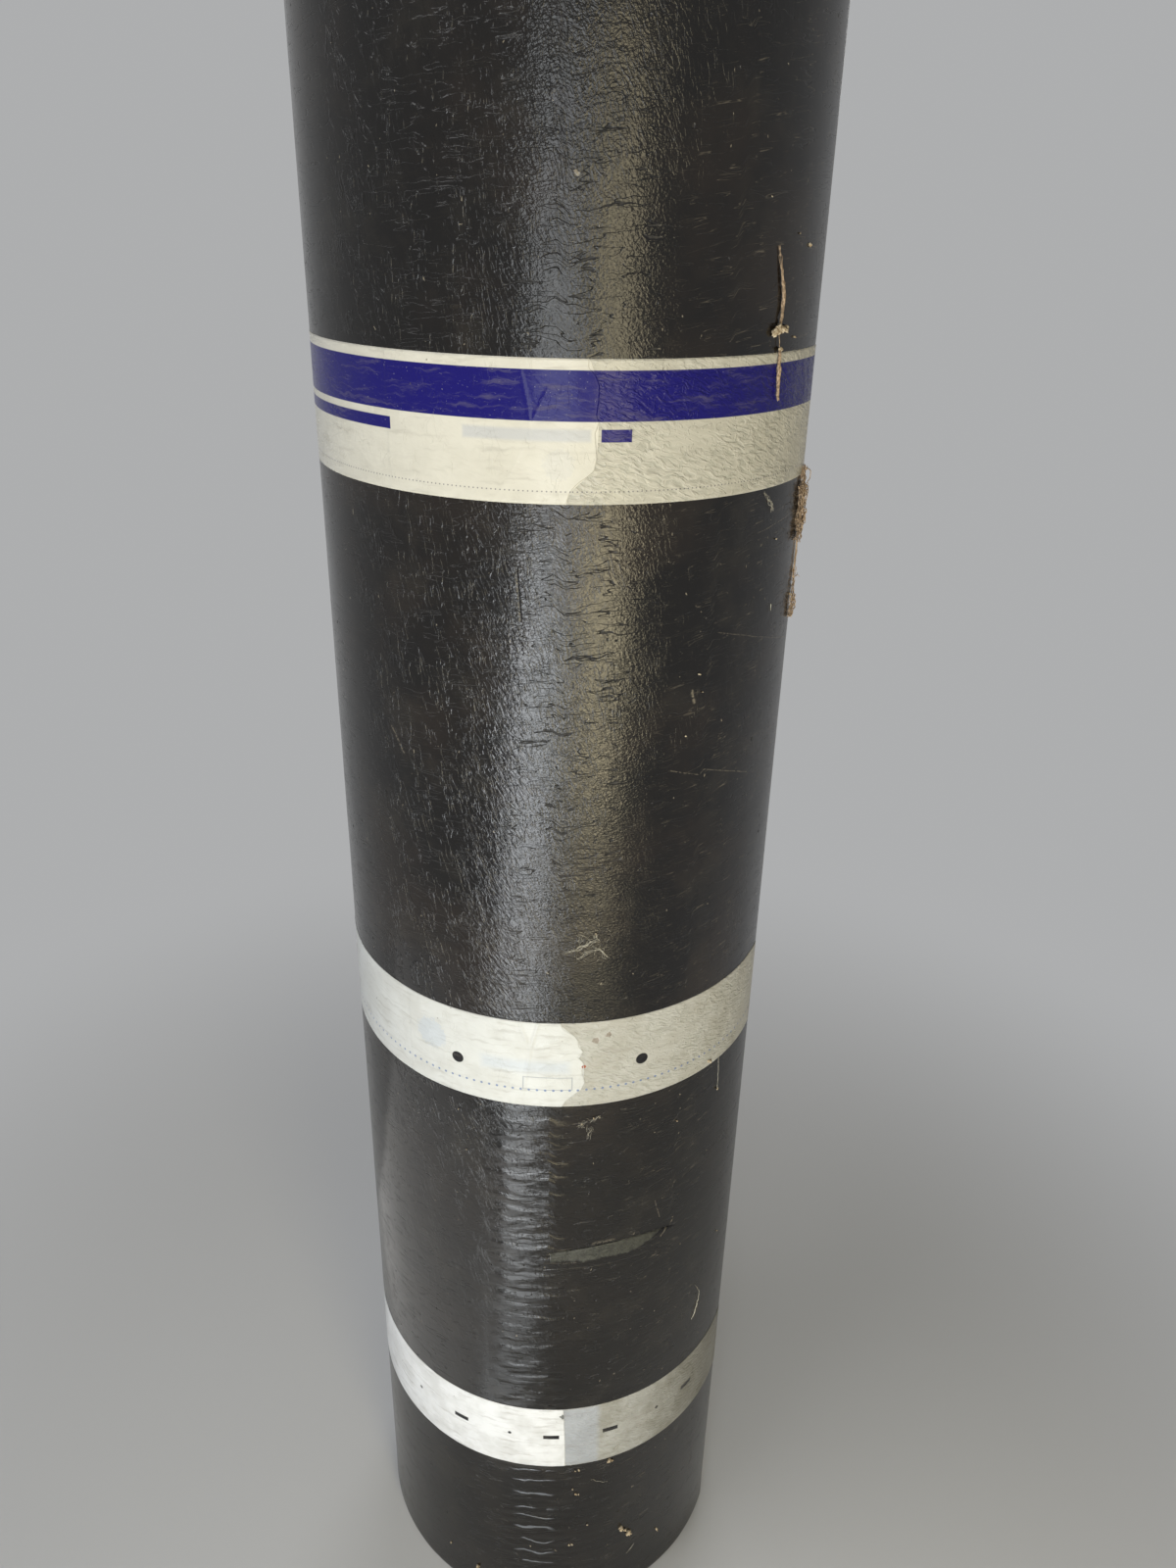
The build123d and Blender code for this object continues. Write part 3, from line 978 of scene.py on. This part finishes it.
def tape_finish(name, film_colour, one_layer_and_shade_colour, dirt, roughness=0.28):
    """The film that all three bands share, up to its colour. It returns the node adder, the UV map,
    two makers of marks on it, the colour, and a function that puts on the dirt and gives back the
    whole material."""
    material, nodes, shader = new_material(name)
    place = nodes.made("ShaderNodeUVMap", uv_map="flat")
    u = nodes.axes(place)[0]
    single = nodes.rise(u, (full_turn + 2.6) * front_radius, (full_turn + 1.2) * front_radius)
    texture = nodes.group(film_group, Place=place, Single=nodes.times_plus(single, 0.85, 0.15))
    # Where the film lies in one layer over the black felt it takes a darker colour: partly the felt showing
    # through, partly painted shade for the side of the roll that the light hardly reaches
    under = nodes.times(single, 0.72)
    under = nodes.blend(texture["Cloud"], under, nodes.plus(under, 0.28))
    colour = nodes.mix(under, film_colour, one_layer_and_shade_colour)
    # Painted shade: a grey-green darkening in the hollows of the foil wrinkles
    hollow_shade = nodes.times(texture["Touch"], single, 0.30)
    colour = nodes.mix(hollow_shade, colour, (0.24, 0.25, 0.20, 1))

    def finish(colour):
        dirty = nodes.times(texture["Dirt"], dirt)
        specks = nodes.group(dust_group, Place=place, Amount=0.5)["Speck"]
        colour = nodes.mix(dirty, colour, (0.20, 0.18, 0.15, 1))
        colour = nodes.paint(colour, (0.10, 0.09, 0.07, 1), specks, 0.6)
        nodes.feed(shader["Base Color"], colour)
        nodes.feed(shader["Roughness"], nodes.times_plus(texture["Dirt"], 0.2, roughness))
        nodes.bump(shader, texture["Height"], 0.001, 1.0)
        shader["Specular IOR Level"].default_value = 0.18
        shader["Coat Weight"].default_value = 0.05
        shader["Coat Roughness"].default_value = 0.12
        return material

    box, dot = (functools.partial(mark, nodes, place) for mark in (box_mark, round_mark))
    return nodes, place, box, dot, colour, finish


ghost_grey = (0.46, 0.47, 0.48, 1)
ghost_blue = (0.38, 0.45, 0.55, 1)
print_black = (0.012, 0.012, 0.014, 1)


def upper_tape():
    """Cream film printed with a broad and a narrow blue stripe, and with a row of fine dots."""
    cream, warm_grey, blue = (0.61, 0.59, 0.515, 1), (0.46, 0.44, 0.37, 1), (0.010, 0.008, 0.125, 1)
    nodes, place, box, dot, colour, finish = tape_finish("upper_tape", cream, warm_grey, 0.25, 0.22)
    ghost = box(on_tape(-110, 22.2, True), on_tape(-85, 26.4, True), blurred)
    colour = nodes.paint(colour, ghost_grey, ghost, 0.75)
    smear = dot(on_tape(-91, 14, True), 5.5, 0.8)
    colour = nodes.paint(colour, ghost_grey, smear, 0.18)
    dots = dotted_row(nodes, place, 4.6, 1.7, 0.26)
    colour = nodes.paint(colour, (0.05, 0.05, 0.09, 1), dots, 0.75)
    stripe = nodes.most(
        box((0, 0.0290, 0), (9, 0.0462, 0)),
        box(on_tape(-83, 22.0), on_tape(-77, 26.4)),
        box((full_turn * front_radius, 0.0220, 0), on_tape(-127, 26.4, True)))
    scraped = nodes.rise(nodes.noise(nodes.scaled(place, 1000), 1.1, 3.0, 0.6), 0.24, 0.29)
    stripe = nodes.times(stripe, nodes.blend(scraped, 0.6, 1.0))
    return finish(nodes.mix(stripe, colour, blue))


def middle_tape():
    """White film with a row of small blue dots and two black ones, and older print showing through."""
    white, grey = (0.56, 0.57, 0.555, 1), (0.375, 0.365, 0.325, 1)
    nodes, place, box, dot, colour, finish = tape_finish("middle_tape", white, grey, 0.3)
    ghost = nodes.most(dot(on_tape(-123.5, 29, True), 8.0, 0.9),
                       box(on_tape(-109, 19.5, True), on_tape(-87, 26, True), 0.005))
    colour = nodes.paint(colour, ghost_blue, ghost, 0.35)
    outline = nodes.minus(box(on_tape(-98.5, 9.6, True), on_tape(-86.0, 17.2, True)),
                          box(on_tape(-98.2, 10.1, True), on_tape(-86.3, 16.7, True)))
    colour = nodes.paint(colour, (0.16, 0.19, 0.25, 1), outline, 0.5)
    dots = dotted_row(nodes, place, 9.5, 3.8, 0.62)
    colour = nodes.paint(colour, (0.09, 0.15, 0.32, 1), dots, 0.8)
    black = nodes.most(dot(on_tape(-115.7, 20.5, True), 3.0), dot(on_tape(-68.2, 22.5), 3.0))
    colour = nodes.mix(black, colour, print_black)
    peeled = nodes.most(dot(on_tape(-80.6, 37.5), 1.6, 1.6), dot(on_tape(-77.3, 40.0), 1.2, 1.6))
    colour = nodes.paint(colour, (0.17, 0.12, 0.085, 1), peeled, 0.6)
    red = nodes.most(*(dot(on_tape(-83.3, 23.0, lap), 1.0, 0.8) for lap in (False, True)))
    colour = nodes.mix(red, colour, (0.32, 0.08, 0.04, 1))
    return finish(colour)


def lower_tape():
    """White film with plain dots and dashes, streaked with dirt, and darkened towards the right by painted
    shade.
    """
    white, grey = (0.66, 0.67, 0.68, 1), (0.26, 0.255, 0.225, 1)
    nodes, place, box, dot, colour, finish = tape_finish("lower_tape", white, grey, 0.35)
    u = nodes.axes(place)[0]
    # Painted shade: the band grows darker towards its right-hand side and stays dark past it, round the back
    # of the roll
    edges = [at_azimuth(azimuth) * front_radius for azimuth in (-76, -30)]
    shade_to_right = nodes.times(nodes.rise(u, *edges), nodes.rise(u, full_turn * front_radius + 0.1, edges[1]))
    colour = nodes.paint(colour, (0.08, 0.075, 0.055, 1), shade_to_right, 0.6)
    patch = box(on_tape(-87, 0), on_tape(-76, 48), 0.004)
    colour = nodes.paint(colour, (0.34, 0.37, 0.43, 1), patch, 0.55)
    dots = [dot(on_tape(-135.5, 24.5, True), 1.1), dot(on_tape(-102.9, 25.7, True), 1.0),
            dot(on_tape(-56.1, 25.6), 1.1)]
    dashes = [box(on_tape(azimuth - 2.4, 23.5, lap), on_tape(azimuth + 2.4, 26.5, lap))
              for azimuth, lap in ((-118.8, True), (-90.3, True), (-72.2, False), (-43.3, False))]
    colour = nodes.mix(nodes.most(*dots, *dashes), colour, print_black)
    scuff = dot(on_tape(-86.6, 42.0, True), 1.9, 2.2)
    colour = nodes.paint(colour, (0.03, 0.035, 0.03, 1), scuff, 0.8)
    return finish(colour)


tape_finishes = {
    "tape_band_upper": upper_tape(), "tape_band_middle": middle_tape(), "tape_band_lower": lower_tape()}
for node, tape in tapes.items():
    new_piece(node + "_film", tape_mesh(node, **tape), [tape_finishes[node]], "tape", node)


# Dry plant fibre, cobweb, lint and crumbs of wood. They cling to the film and the tape, and have caught on
# the corner of the sheet's outer end. A stalk hangs down over the upper tape. Nothing else holds them.
fibre_step, farthest_lift = 0.7, 3.0   # millimetres


def strand(route, stray=0.0, seed=0):
    """A fibre through given places: azimuth, and millimetres of height, of lift off the felt and of
    half its thickness. Between them it strays to all sides."""
    azimuth, height, lift, half = np.array(route, dtype=float).T
    along = (full_turn + np.radians(azimuth) - sheet_end) * front_radius * 1000
    run = np.concatenate([[0], np.cumsum(np.hypot(np.diff(along), np.diff(height)))])
    at = np.linspace(0, run[-1], max(2, round(run[-1] / fibre_step) + 1))
    strays = stray * smooth_noise(at[None, :], np.arange(3)[:, None], 2.2, 1, seed)
    along, height, lift, half = (np.interp(at, run, values) for values in (along, height, lift, half))
    turned = (along + strays[0]) / 1000 / front_radius
    farthest = np.minimum(farthest_lift, room_before(turned) * 1000 - half)
    lift = np.clip(lift + strays[2], half * 0.8, farthest)
    return on_last_turn(turned, -lift / 1000, (height + strays[1]) / 1000), half


def frayed(route, count, spread, seed):
    """A strand with thinner ones along it that stray further."""
    strands = [strand(route, spread * 0.4, seed)]
    for beside in range(1, count):
        side = math.degrees(spread * math.sin(2.4 * beside) / 1000 / front_radius)
        line = [(azimuth + side, height, lift, half * 0.55) for azimuth, height, lift, half in route]
        strands.append(strand(line, spread, seed + beside))
    return strands


def tangle(count, azimuths, heights, lifts, lengths, halves, seed):
    """Crooked fibres that lie criss-cross in a patch, mostly upright. All but the azimuths are in
    millimetres, each a least and a greatest value."""
    random = np.random.default_rng(seed)
    strands = []
    for fibre in range(count):
        azimuth, height, lift, length, half = (
            random.uniform(*ends) for ends in (azimuths, heights, lifts, lengths, halves))
        lean, inward = random.normal(0, 0.5), random.uniform(0.3, 1.0)
        up = length / 2 * math.cos(lean)
        side = math.degrees(length / 2 * math.sin(lean) / 1000 / front_radius)
        strands.append(strand([
            (azimuth - side, max(height - up, heights[0]), lift * inward, half * 0.5),
            (azimuth, height, lift, half),
            (azimuth + side, min(height + up, heights[1]), lift * inward, half * 0.5)], 0.8, seed + fibre))
    return strands


def fibre_mesh(name, strands):
    """Fine round fibres, each as the places along it and half its thickness there in millimetres."""
    curve = bpy.data.curves.new(name, "CURVE")
    curve.dimensions = "3D"
    curve.bevel_depth = 0.001
    curve.bevel_resolution = 1
    curve.use_fill_caps = True
    for places, half in strands:
        line = curve.splines.new("POLY")
        line.points.add(len(places) - 1)
        line.points.foreach_set("co", np.column_stack([places, np.ones(len(places))]).ravel())
        line.points.foreach_set("radius", half)
    return plain_mesh(name, new_object(name, curve))


def dry_matter(name, dark, pale):
    """Dull dry stuff. One noise gives both its bump and its tone, so it is darker in the hollows of the bump:
    partly its own rotted tone, partly painted shade.
    """
    material, nodes, shader = new_material(name)
    place = nodes.add("ShaderNodeTexCoord").outputs["Object"]
    streaks = nodes.solid_noise(place, 900.0, 3.0)
    nodes.feed(shader["Base Color"], nodes.mix(nodes.rise(streaks, 0.38, 0.62), dark, pale))
    shader["Roughness"].default_value = 0.85
    nodes.bump(shader, streaks, 0.0004, 0.8)
    return material


def crumb_tree(crumb_material):
    """A node tree that puts a rough lump on each point of its mesh, as large as the point's size."""
    tree, nodes, given, result = node_tree(
        "clinging_crumbs", "GeometryNodeTree",
        {"Geometry": "Points", "Float": "Roughness Grain", "Int": "Seed"}, {"Geometry": "Geometry"})
    size = nodes.made("GeometryNodeInputNamedAttribute", {"Name": "size"}, data_type="FLOAT")
    ball = nodes.made("GeometryNodeMeshIcoSphere", {"Radius": 0.5, "Subdivisions": 3})
    ball = nodes.made("GeometryNodeSetShadeSmooth", {"Geometry": ball})

    def random_vector(low, high, seed):
        limits = {0: (low, low, low), 1: (high, high, high), "Seed": seed}
        return nodes.made("FunctionNodeRandomValue", limits, data_type="FLOAT_VECTOR")

    angles = random_vector(0.0, full_turn, given["Seed"])
    shape = random_vector(0.55, 1.25, nodes.plus(given["Seed"], 1.0))
    lumps = nodes.made("GeometryNodeInstanceOnPoints", {
        "Points": given["Points"], "Instance": ball, "Rotation": angles, "Scale": nodes.scaled(shape, size)})
    lumps = nodes.made("GeometryNodeRealizeInstances", {"Geometry": lumps})
    here = nodes.made("GeometryNodeInputPosition")
    rough = nodes.solid_noise(here, given["Grain"], 2.0)
    push = nodes.times(nodes.minus(rough, 0.55), given["Roughness"], size)
    normal = nodes.made("GeometryNodeInputNormal")
    lumps = nodes.made("GeometryNodeSetPosition", {"Geometry": lumps, "Offset": nodes.scaled(normal, push)})
    lumps = nodes.made("GeometryNodeSetMaterial", {"Geometry": lumps, "Material": crumb_material})
    nodes.feed(result["Geometry"], lumps)
    return tree


def crumb_mesh(name, crumbs, material, seed):
    """Rough lumps, each at an azimuth and, in millimetres, a height, a lift and a size."""
    azimuth, height, lift, size = np.array(crumbs, dtype=float).T
    turned = full_turn + np.radians(azimuth) - sheet_end
    points = bpy.data.meshes.new(name)
    points.from_pydata(on_last_turn(turned, -lift / 1000, height / 1000).tolist(), [], [])
    sizes = points.attributes.new("size", "FLOAT", "POINT")
    sizes.data.foreach_set("value", (size / 1000).astype(np.float32))
    settings = {"Roughness": 1.3, "Grain": 1100.0, "Seed": seed}
    return made_by_nodes(name, crumb_tree(material), settings, points)


stalk_brown = dry_matter("dry_stalk", (0.20, 0.14, 0.09, 1), (0.46, 0.34, 0.23, 1))
crumb_tan = dry_matter("wood_crumb", (0.26, 0.19, 0.11, 1), (0.55, 0.47, 0.34, 1))
web_grey = dry_matter("cobweb", (0.28, 0.26, 0.21, 1), (0.55, 0.52, 0.43, 1))

# The stalk that hangs over the upper tape, broken off at a lump
stalk = [
    (-45.2, 758, 0.4, 0.08), (-44.2, 752, 0.5, 0.16), (-43.5, 747, 0.7, 0.42), (-42.7, 742, 0.8, 0.74),
    (-42.7, 738, 0.8, 0.60), (-43.0, 733, 0.8, 0.40), (-43.2, 730, 0.8, 0.44)]
hanging = [
    (-42.4, 722.5, 0.8, 0.22), (-42.5, 719, 0.9, 0.56), (-42.1, 712, 1.0, 0.76), (-41.9, 708, 0.9, 0.56),
    (-41.5, 705, 0.8, 0.26)]
thread = [(-43.2, 730, 0.8, 0.14), (-42.4, 722.5, 0.6, 0.12)]
stalk_strands = frayed(stalk, 5, 0.38, 51) + frayed(hanging, 5, 0.38, 61) + [strand(thread, 0.1, 56)]
new_piece("dry_stalk", fibre_mesh("dry_stalk", stalk_strands), [stalk_brown], "felt")

# Fluff on the corner of the sheet's outer end: a long tangle, a stem below it and a tuft at its foot
caught = [
    *tangle(150, (-24.3, -21.3), (645, 668), (0.1, 2.9), (3, 9), (0.10, 0.32), 100),
    *tangle(40, (-23.5, -21.3), (664, 675), (0.1, 1.4), (3, 8), (0.10, 0.28), 300),
    *tangle(50, (-23.2, -21.2), (611, 621), (0.2, 2.8), (2, 6), (0.10, 0.30), 400),
    *tangle(14, (-22.4, -21.3), (618, 632), (0.1, 1.2), (4, 8), (0.10, 0.25), 500),
    *frayed([(-21.5, 648, 0.3, 0.30), (-21.4, 638, 0.3, 0.42), (-21.5, 626, 0.3, 0.30)], 4, 0.4, 600),
    strand([(-22, 668, 2.0, 0.15), (-20.9, 670, 2.9, 0.2), (-20.8, 672.5, 2.9, 0.2), (-21.8, 674, 2.0, 0.2)],
           0.2, 62),
    strand([(-21.4, 627, 0.4, 0.16), (-20.9, 629, 1.8, 0.14), (-20.8, 628, 2.9, 0.10)], 0.2, 63),
]
new_piece("caught_fluff", fibre_mesh("caught_fluff", caught), [stalk_brown], "felt")

# Cobweb and lint on the felt between the bands, and a thread with a knot that hangs from the middle tape
web_routes = [
    [(-88.5, 478.2, 0.1, 0.05), (-85.6, 479.7, 0.2, 0.10), (-84.9, 481.3, 0.3, 0.20),
     (-83.4, 481.9, 0.4, 0.18), (-82.2, 483.8, 0.3, 0.14), (-80.9, 484.4, 0.3, 0.10),
     (-81.3, 487.3, 0.3, 0.18)],
    [(-85.2, 475.2, 0.2, 0.06), (-83.6, 477.5, 0.3, 0.12), (-81.6, 479.2, 0.3, 0.16),
     (-80.1, 479.4, 0.3, 0.18), (-79.3, 476.8, 0.3, 0.14), (-78.3, 474.5, 0.3, 0.10)],
    [(-80.6, 378.6, 0.2, 0.05), (-81.7, 375.4, 0.3, 0.10), (-81.9, 371.8, 0.2, 0.05)],
    [(-84.4, 379.6, 0.2, 0.05), (-83.1, 381.9, 0.2, 0.10), (-82.4, 382.3, 0.2, 0.05)],
    [(-81.0, 382.6, 0.2, 0.05), (-79.6, 384.6, 0.3, 0.09), (-78.8, 384.4, 0.2, 0.05)],
    [(-43.0, 670.6, 0.2, 0.08), (-41.6, 668.2, 0.2, 0.08), (-39.1, 662.6, 0.2, 0.14)],
]
webs = [
    line for number, route in enumerate(web_routes)
    for line in frayed([(*place, 0.7 * half) for *place, half in route], 6, 0.85, 700 + 10 * number)]
webs += tangle(26, (-86.5, -78.0), (474, 488), (0.1, 0.4), (1, 4), (0.04, 0.08), 800)
webs += tangle(8, (-83.5, -79.5), (378, 384), (0.1, 0.4), (1, 3), (0.04, 0.09), 830)
webs += [
    strand([(-35.9, 622.6, 0.2, 0.14), (-35.5, 619.6, 0.2, 0.10)], 0.2, 76),
    strand([(-41.7, 394.5, 0.5, 0.10), (-41.4, 385.5, 0.9, 0.09), (-40.9, 373.0, 0.6, 0.10)], 0.1, 77),
    strand([(-64.3, 31.5, 0.2, 0.06), (-62.8, 34.5, 0.2, 0.15), (-61.6, 37.8, 0.2, 0.06)], 0.1, 78),
    strand([(-43.1, 236, 0.2, 0.07), (-40.6, 227.4, 0.4, 0.10), (-41.0, 221, 0.5, 0.14),
            (-41.7, 216, 0.4, 0.28), (-43.3, 209, 0.2, 0.14)], 0.25, 81),
    strand([(-78.1, 115.8, 0.2, 0.06), (-75.2, 112.0, 0.2, 0.08), (-72.3, 109.3, 0.2, 0.05)], 0.5, 79),
    strand([(-70.9, 136.6, 0.3, 0.10), (-69.0, 138.2, 0.3, 0.10)], 0.2, 80),
]
new_piece("cobweb_and_lint", fibre_mesh("cobweb_and_lint", webs), [web_grey], "felt")

# Crumbs of wood and plaster, as azimuth, height, lift and size: at the foot, on the felt, and the
# stalk's lump
crumbs = [
    (-82.8, 124.6, 0.0, 1.4), (-81.6, 124.9, 0.1, 1.4), (-72.3, 128.2, 0.4, 2.6), (-71.2, 127.0, 0.3, 1.6),
    (-83.4, 108.5, 0.0, 1.1), (-82.4, 103.7, 0.1, 1.4), (-81.6, 103.2, 0.1, 1.1), (-78.5, 73.4, 0.2, 1.5),
    (-66.9, 59.9, 0.4, 3.0), (-65.4, 56.2, 0.3, 2.2), (-64.0, 51.8, 0.4, 3.4), (-52.2, 36.1, 0.3, 2.1),
    (-84.2, 56.3, 0.0, 1.3), (-83.3, 56.6, 0.0, 1.2), (-114.6, 20.6, 0.4, 2.5), (-125.4, 27.4, 0.2, 1.1),
    (-42.2, 723.4, 0.7, 2.3), (-45.2, 394.4, 0.3, 2.2), (-46.0, 394.8, 0.3, 1.4), (-40.9, 372.0, 0.5, 1.9),
    (-56.2, 367.7, 0.2, 1.0), (-55.8, 384.1, 0.2, 0.8), (-36.2, 650.1, 0.2, 1.0), (-22.8, 620.9, 0.3, 1.3),
    (-36.3, 726.8, 0.2, 1.1), (-48.6, 773.5, 0.2, 1.0), (-33.0, 758.1, 0.2, 1.1), (-38.0, 762.0, 0.2, 0.9),
    (-83.5, 381.2, 0.2, 0.9), (-80.4, 383.8, 0.2, 1.0), (-78.9, 383.9, 0.2, 0.8), (-81.3, 487.3, 0.2, 0.8),
    (-58.9, 602, 0.2, 1.0), (-57.7, 594, 0.2, 0.8), (-61.5, 576, 0.2, 0.7), (-116, 381, 0.2, 0.8),
    (-114, 357, 0.2, 0.7), (-51.6, 279, 0.2, 0.8), (-32.3, 260, 0.2, 1.0),
]
lump = [
    (-44.8, 729.4, 1.0, 3.4), (-43.5, 730.2, 1.2, 3.6), (-42.1, 730.0, 1.1, 3.4), (-41.0, 730.4, 1.0, 3.2)]
new_piece("wood_crumbs", crumb_mesh("wood_crumbs", crumbs + lump, crumb_tan, 81), [], "felt")


# The studio: a pale floor that fades into a pale background, and soft light. Tall softboxes in front
# are mirrored in the felt as cool and warm bands, lamps at floor level light its foot, and larger ones
# above and behind it light its ends and its back.
stage_colour = (0.42, 0.425, 0.43, 1)
floor_colour = (0.56, 0.565, 0.57, 1)
floor_radius, floor_corners = 3.0, 96


def pale_floor():
    mesh = bpy.data.meshes.new("floor")
    angles = [corner * full_turn / floor_corners for corner in range(floor_corners)]
    ring = [(floor_radius * math.cos(angle), floor_radius * math.sin(angle), 0.0) for angle in angles]
    mesh.from_pydata(ring, [], [list(range(floor_corners))])
    floor = new_object("floor", mesh)
    material, nodes, shader = new_material("pale_floor")
    place = nodes.add("ShaderNodeTexCoord").outputs["Object"]
    distance = nodes.measure("LENGTH", place)
    shader["Base Color"].default_value = floor_colour
    shader["Roughness"].default_value = 0.9
    shader["Specular IOR Level"].default_value = 0.2
    glow = nodes.made("ShaderNodeEmission", {"Color": stage_colour, "Strength": 1.0})
    far = nodes.times(nodes.rise(distance, 0.30, 0.85), looked_at(nodes))
    plain = shader["Base Color"].node.outputs[0]
    mixed = nodes.made("ShaderNodeMixShader", {0: far, 1: plain, 2: glow})
    output = next(node for node in material.node_tree.nodes if node.type == "OUTPUT_MATERIAL")
    nodes.feed(output.inputs["Surface"], mixed)
    mesh.materials.append(material)
    return floor


def looked_at(nodes):
    """1 for what is seen directly, in a reflection or through something, and 0 for what lights others."""
    rays = nodes.add("ShaderNodeLightPath").outputs
    return nodes.most(rays["Is Camera Ray"],
                      nodes.most(rays["Is Glossy Ray"], rays["Is Transmission Ray"]))


floor = pale_floor()

world_light = 0.20
world = bpy.data.worlds.new("studio")
bpy.context.scene.world = world
world.use_nodes = True
world.node_tree.nodes.clear()
nodes = Nodes(world.node_tree)
strength = nodes.blend(looked_at(nodes), world_light, 1.0)
background = nodes.made("ShaderNodeBackground", {"Color": stage_colour, "Strength": strength})
nodes.feed(nodes.add("ShaderNodeOutputWorld").inputs["Surface"], background)


def rotation(degrees, axis):
    return Matrix.Rotation(math.radians(degrees), 4, axis)


def softbox(name, azimuth, distance, height, tilt, wide, high, brightness, colour):
    """A lamp that faces the roll's axis, tilted up from level by tilt degrees. The camera doesn't see it."""
    light = bpy.data.lights.new(name, "AREA")
    light.shape = "RECTANGLE"
    light.size, light.size_y = wide, high
    light.energy = brightness * math.pi * wide * high
    light.color = colour
    lamp = new_object(name, light)
    angle = math.radians(azimuth)
    place = (distance * math.cos(angle), distance * math.sin(angle), height)
    turn = rotation(azimuth + 90, "Z") @ rotation(90 + tilt, "X")
    lamp.matrix_world = Matrix.Translation(place) @ turn
    lamp.visible_camera = False
    return lamp


window_light, sun_warmed = (0.93, 0.97, 1.0), (1.0, 0.87, 0.56)
softbox("window_cool_low", -102, 1.05, 0.22, 0, 0.34, 0.26, 12.0, window_light)
softbox("window_cool_high", -94, 1.05, 0.64, 0, 0.30, 0.58, 4.2, window_light)
softbox("window_warm_low", -73, 1.05, 0.27, 0, 0.32, 0.34, 9.0, sun_warmed)
softbox("window_warm_high", -71, 1.05, 0.69, 0, 0.26, 0.50, 4.8, sun_warmed)
softbox("floor_glow_near", -108, 0.56, 0.005, 90, 0.18, 0.34, 4.2, window_light)
softbox("floor_glow_far", -108, 0.92, 0.005, 90, 0.32, 0.38, 9.0, window_light)
softbox("floor_glow_warm", -77, 0.92, 0.005, 90, 0.40, 0.38, 2.4, sun_warmed)
softbox("foot_glow", -113, 0.29, 0.005, 90, 0.10, 0.18, 1.2, window_light)
softbox("left_glow", -163, 0.46, 0.005, 90, 0.50, 0.56, 0.42, (1.0, 0.98, 0.95))
softbox("softbox_top", -150, 1.3, 2.0, -55, 1.4, 1.4, 2.6, (1.0, 1.0, 1.0))
softbox("softbox_back", 80, 2.2, 1.6, -30, 1.4, 1.4, 3.0, (1.0, 1.0, 1.0))

# The camera stands where the photograph was taken from, half a metre away and looking down
camera_eye = (0.0009, -0.5289, 0.7661)
camera_down, camera_right, camera_roll = 26.03, 1.52, 1.38
camera_data = bpy.data.cameras.new("camera")
camera_data.lens = 26.72
camera_data.sensor_width = 36
camera = new_object("camera", camera_data)
camera.matrix_world = (Matrix.Translation(camera_eye) @ rotation(-camera_right, "Z")
                       @ rotation(90 - camera_down, "X") @ rotation(camera_roll, "Z"))
bpy.context.scene.camera = camera
bpy.context.scene.view_settings.view_transform = "Standard"
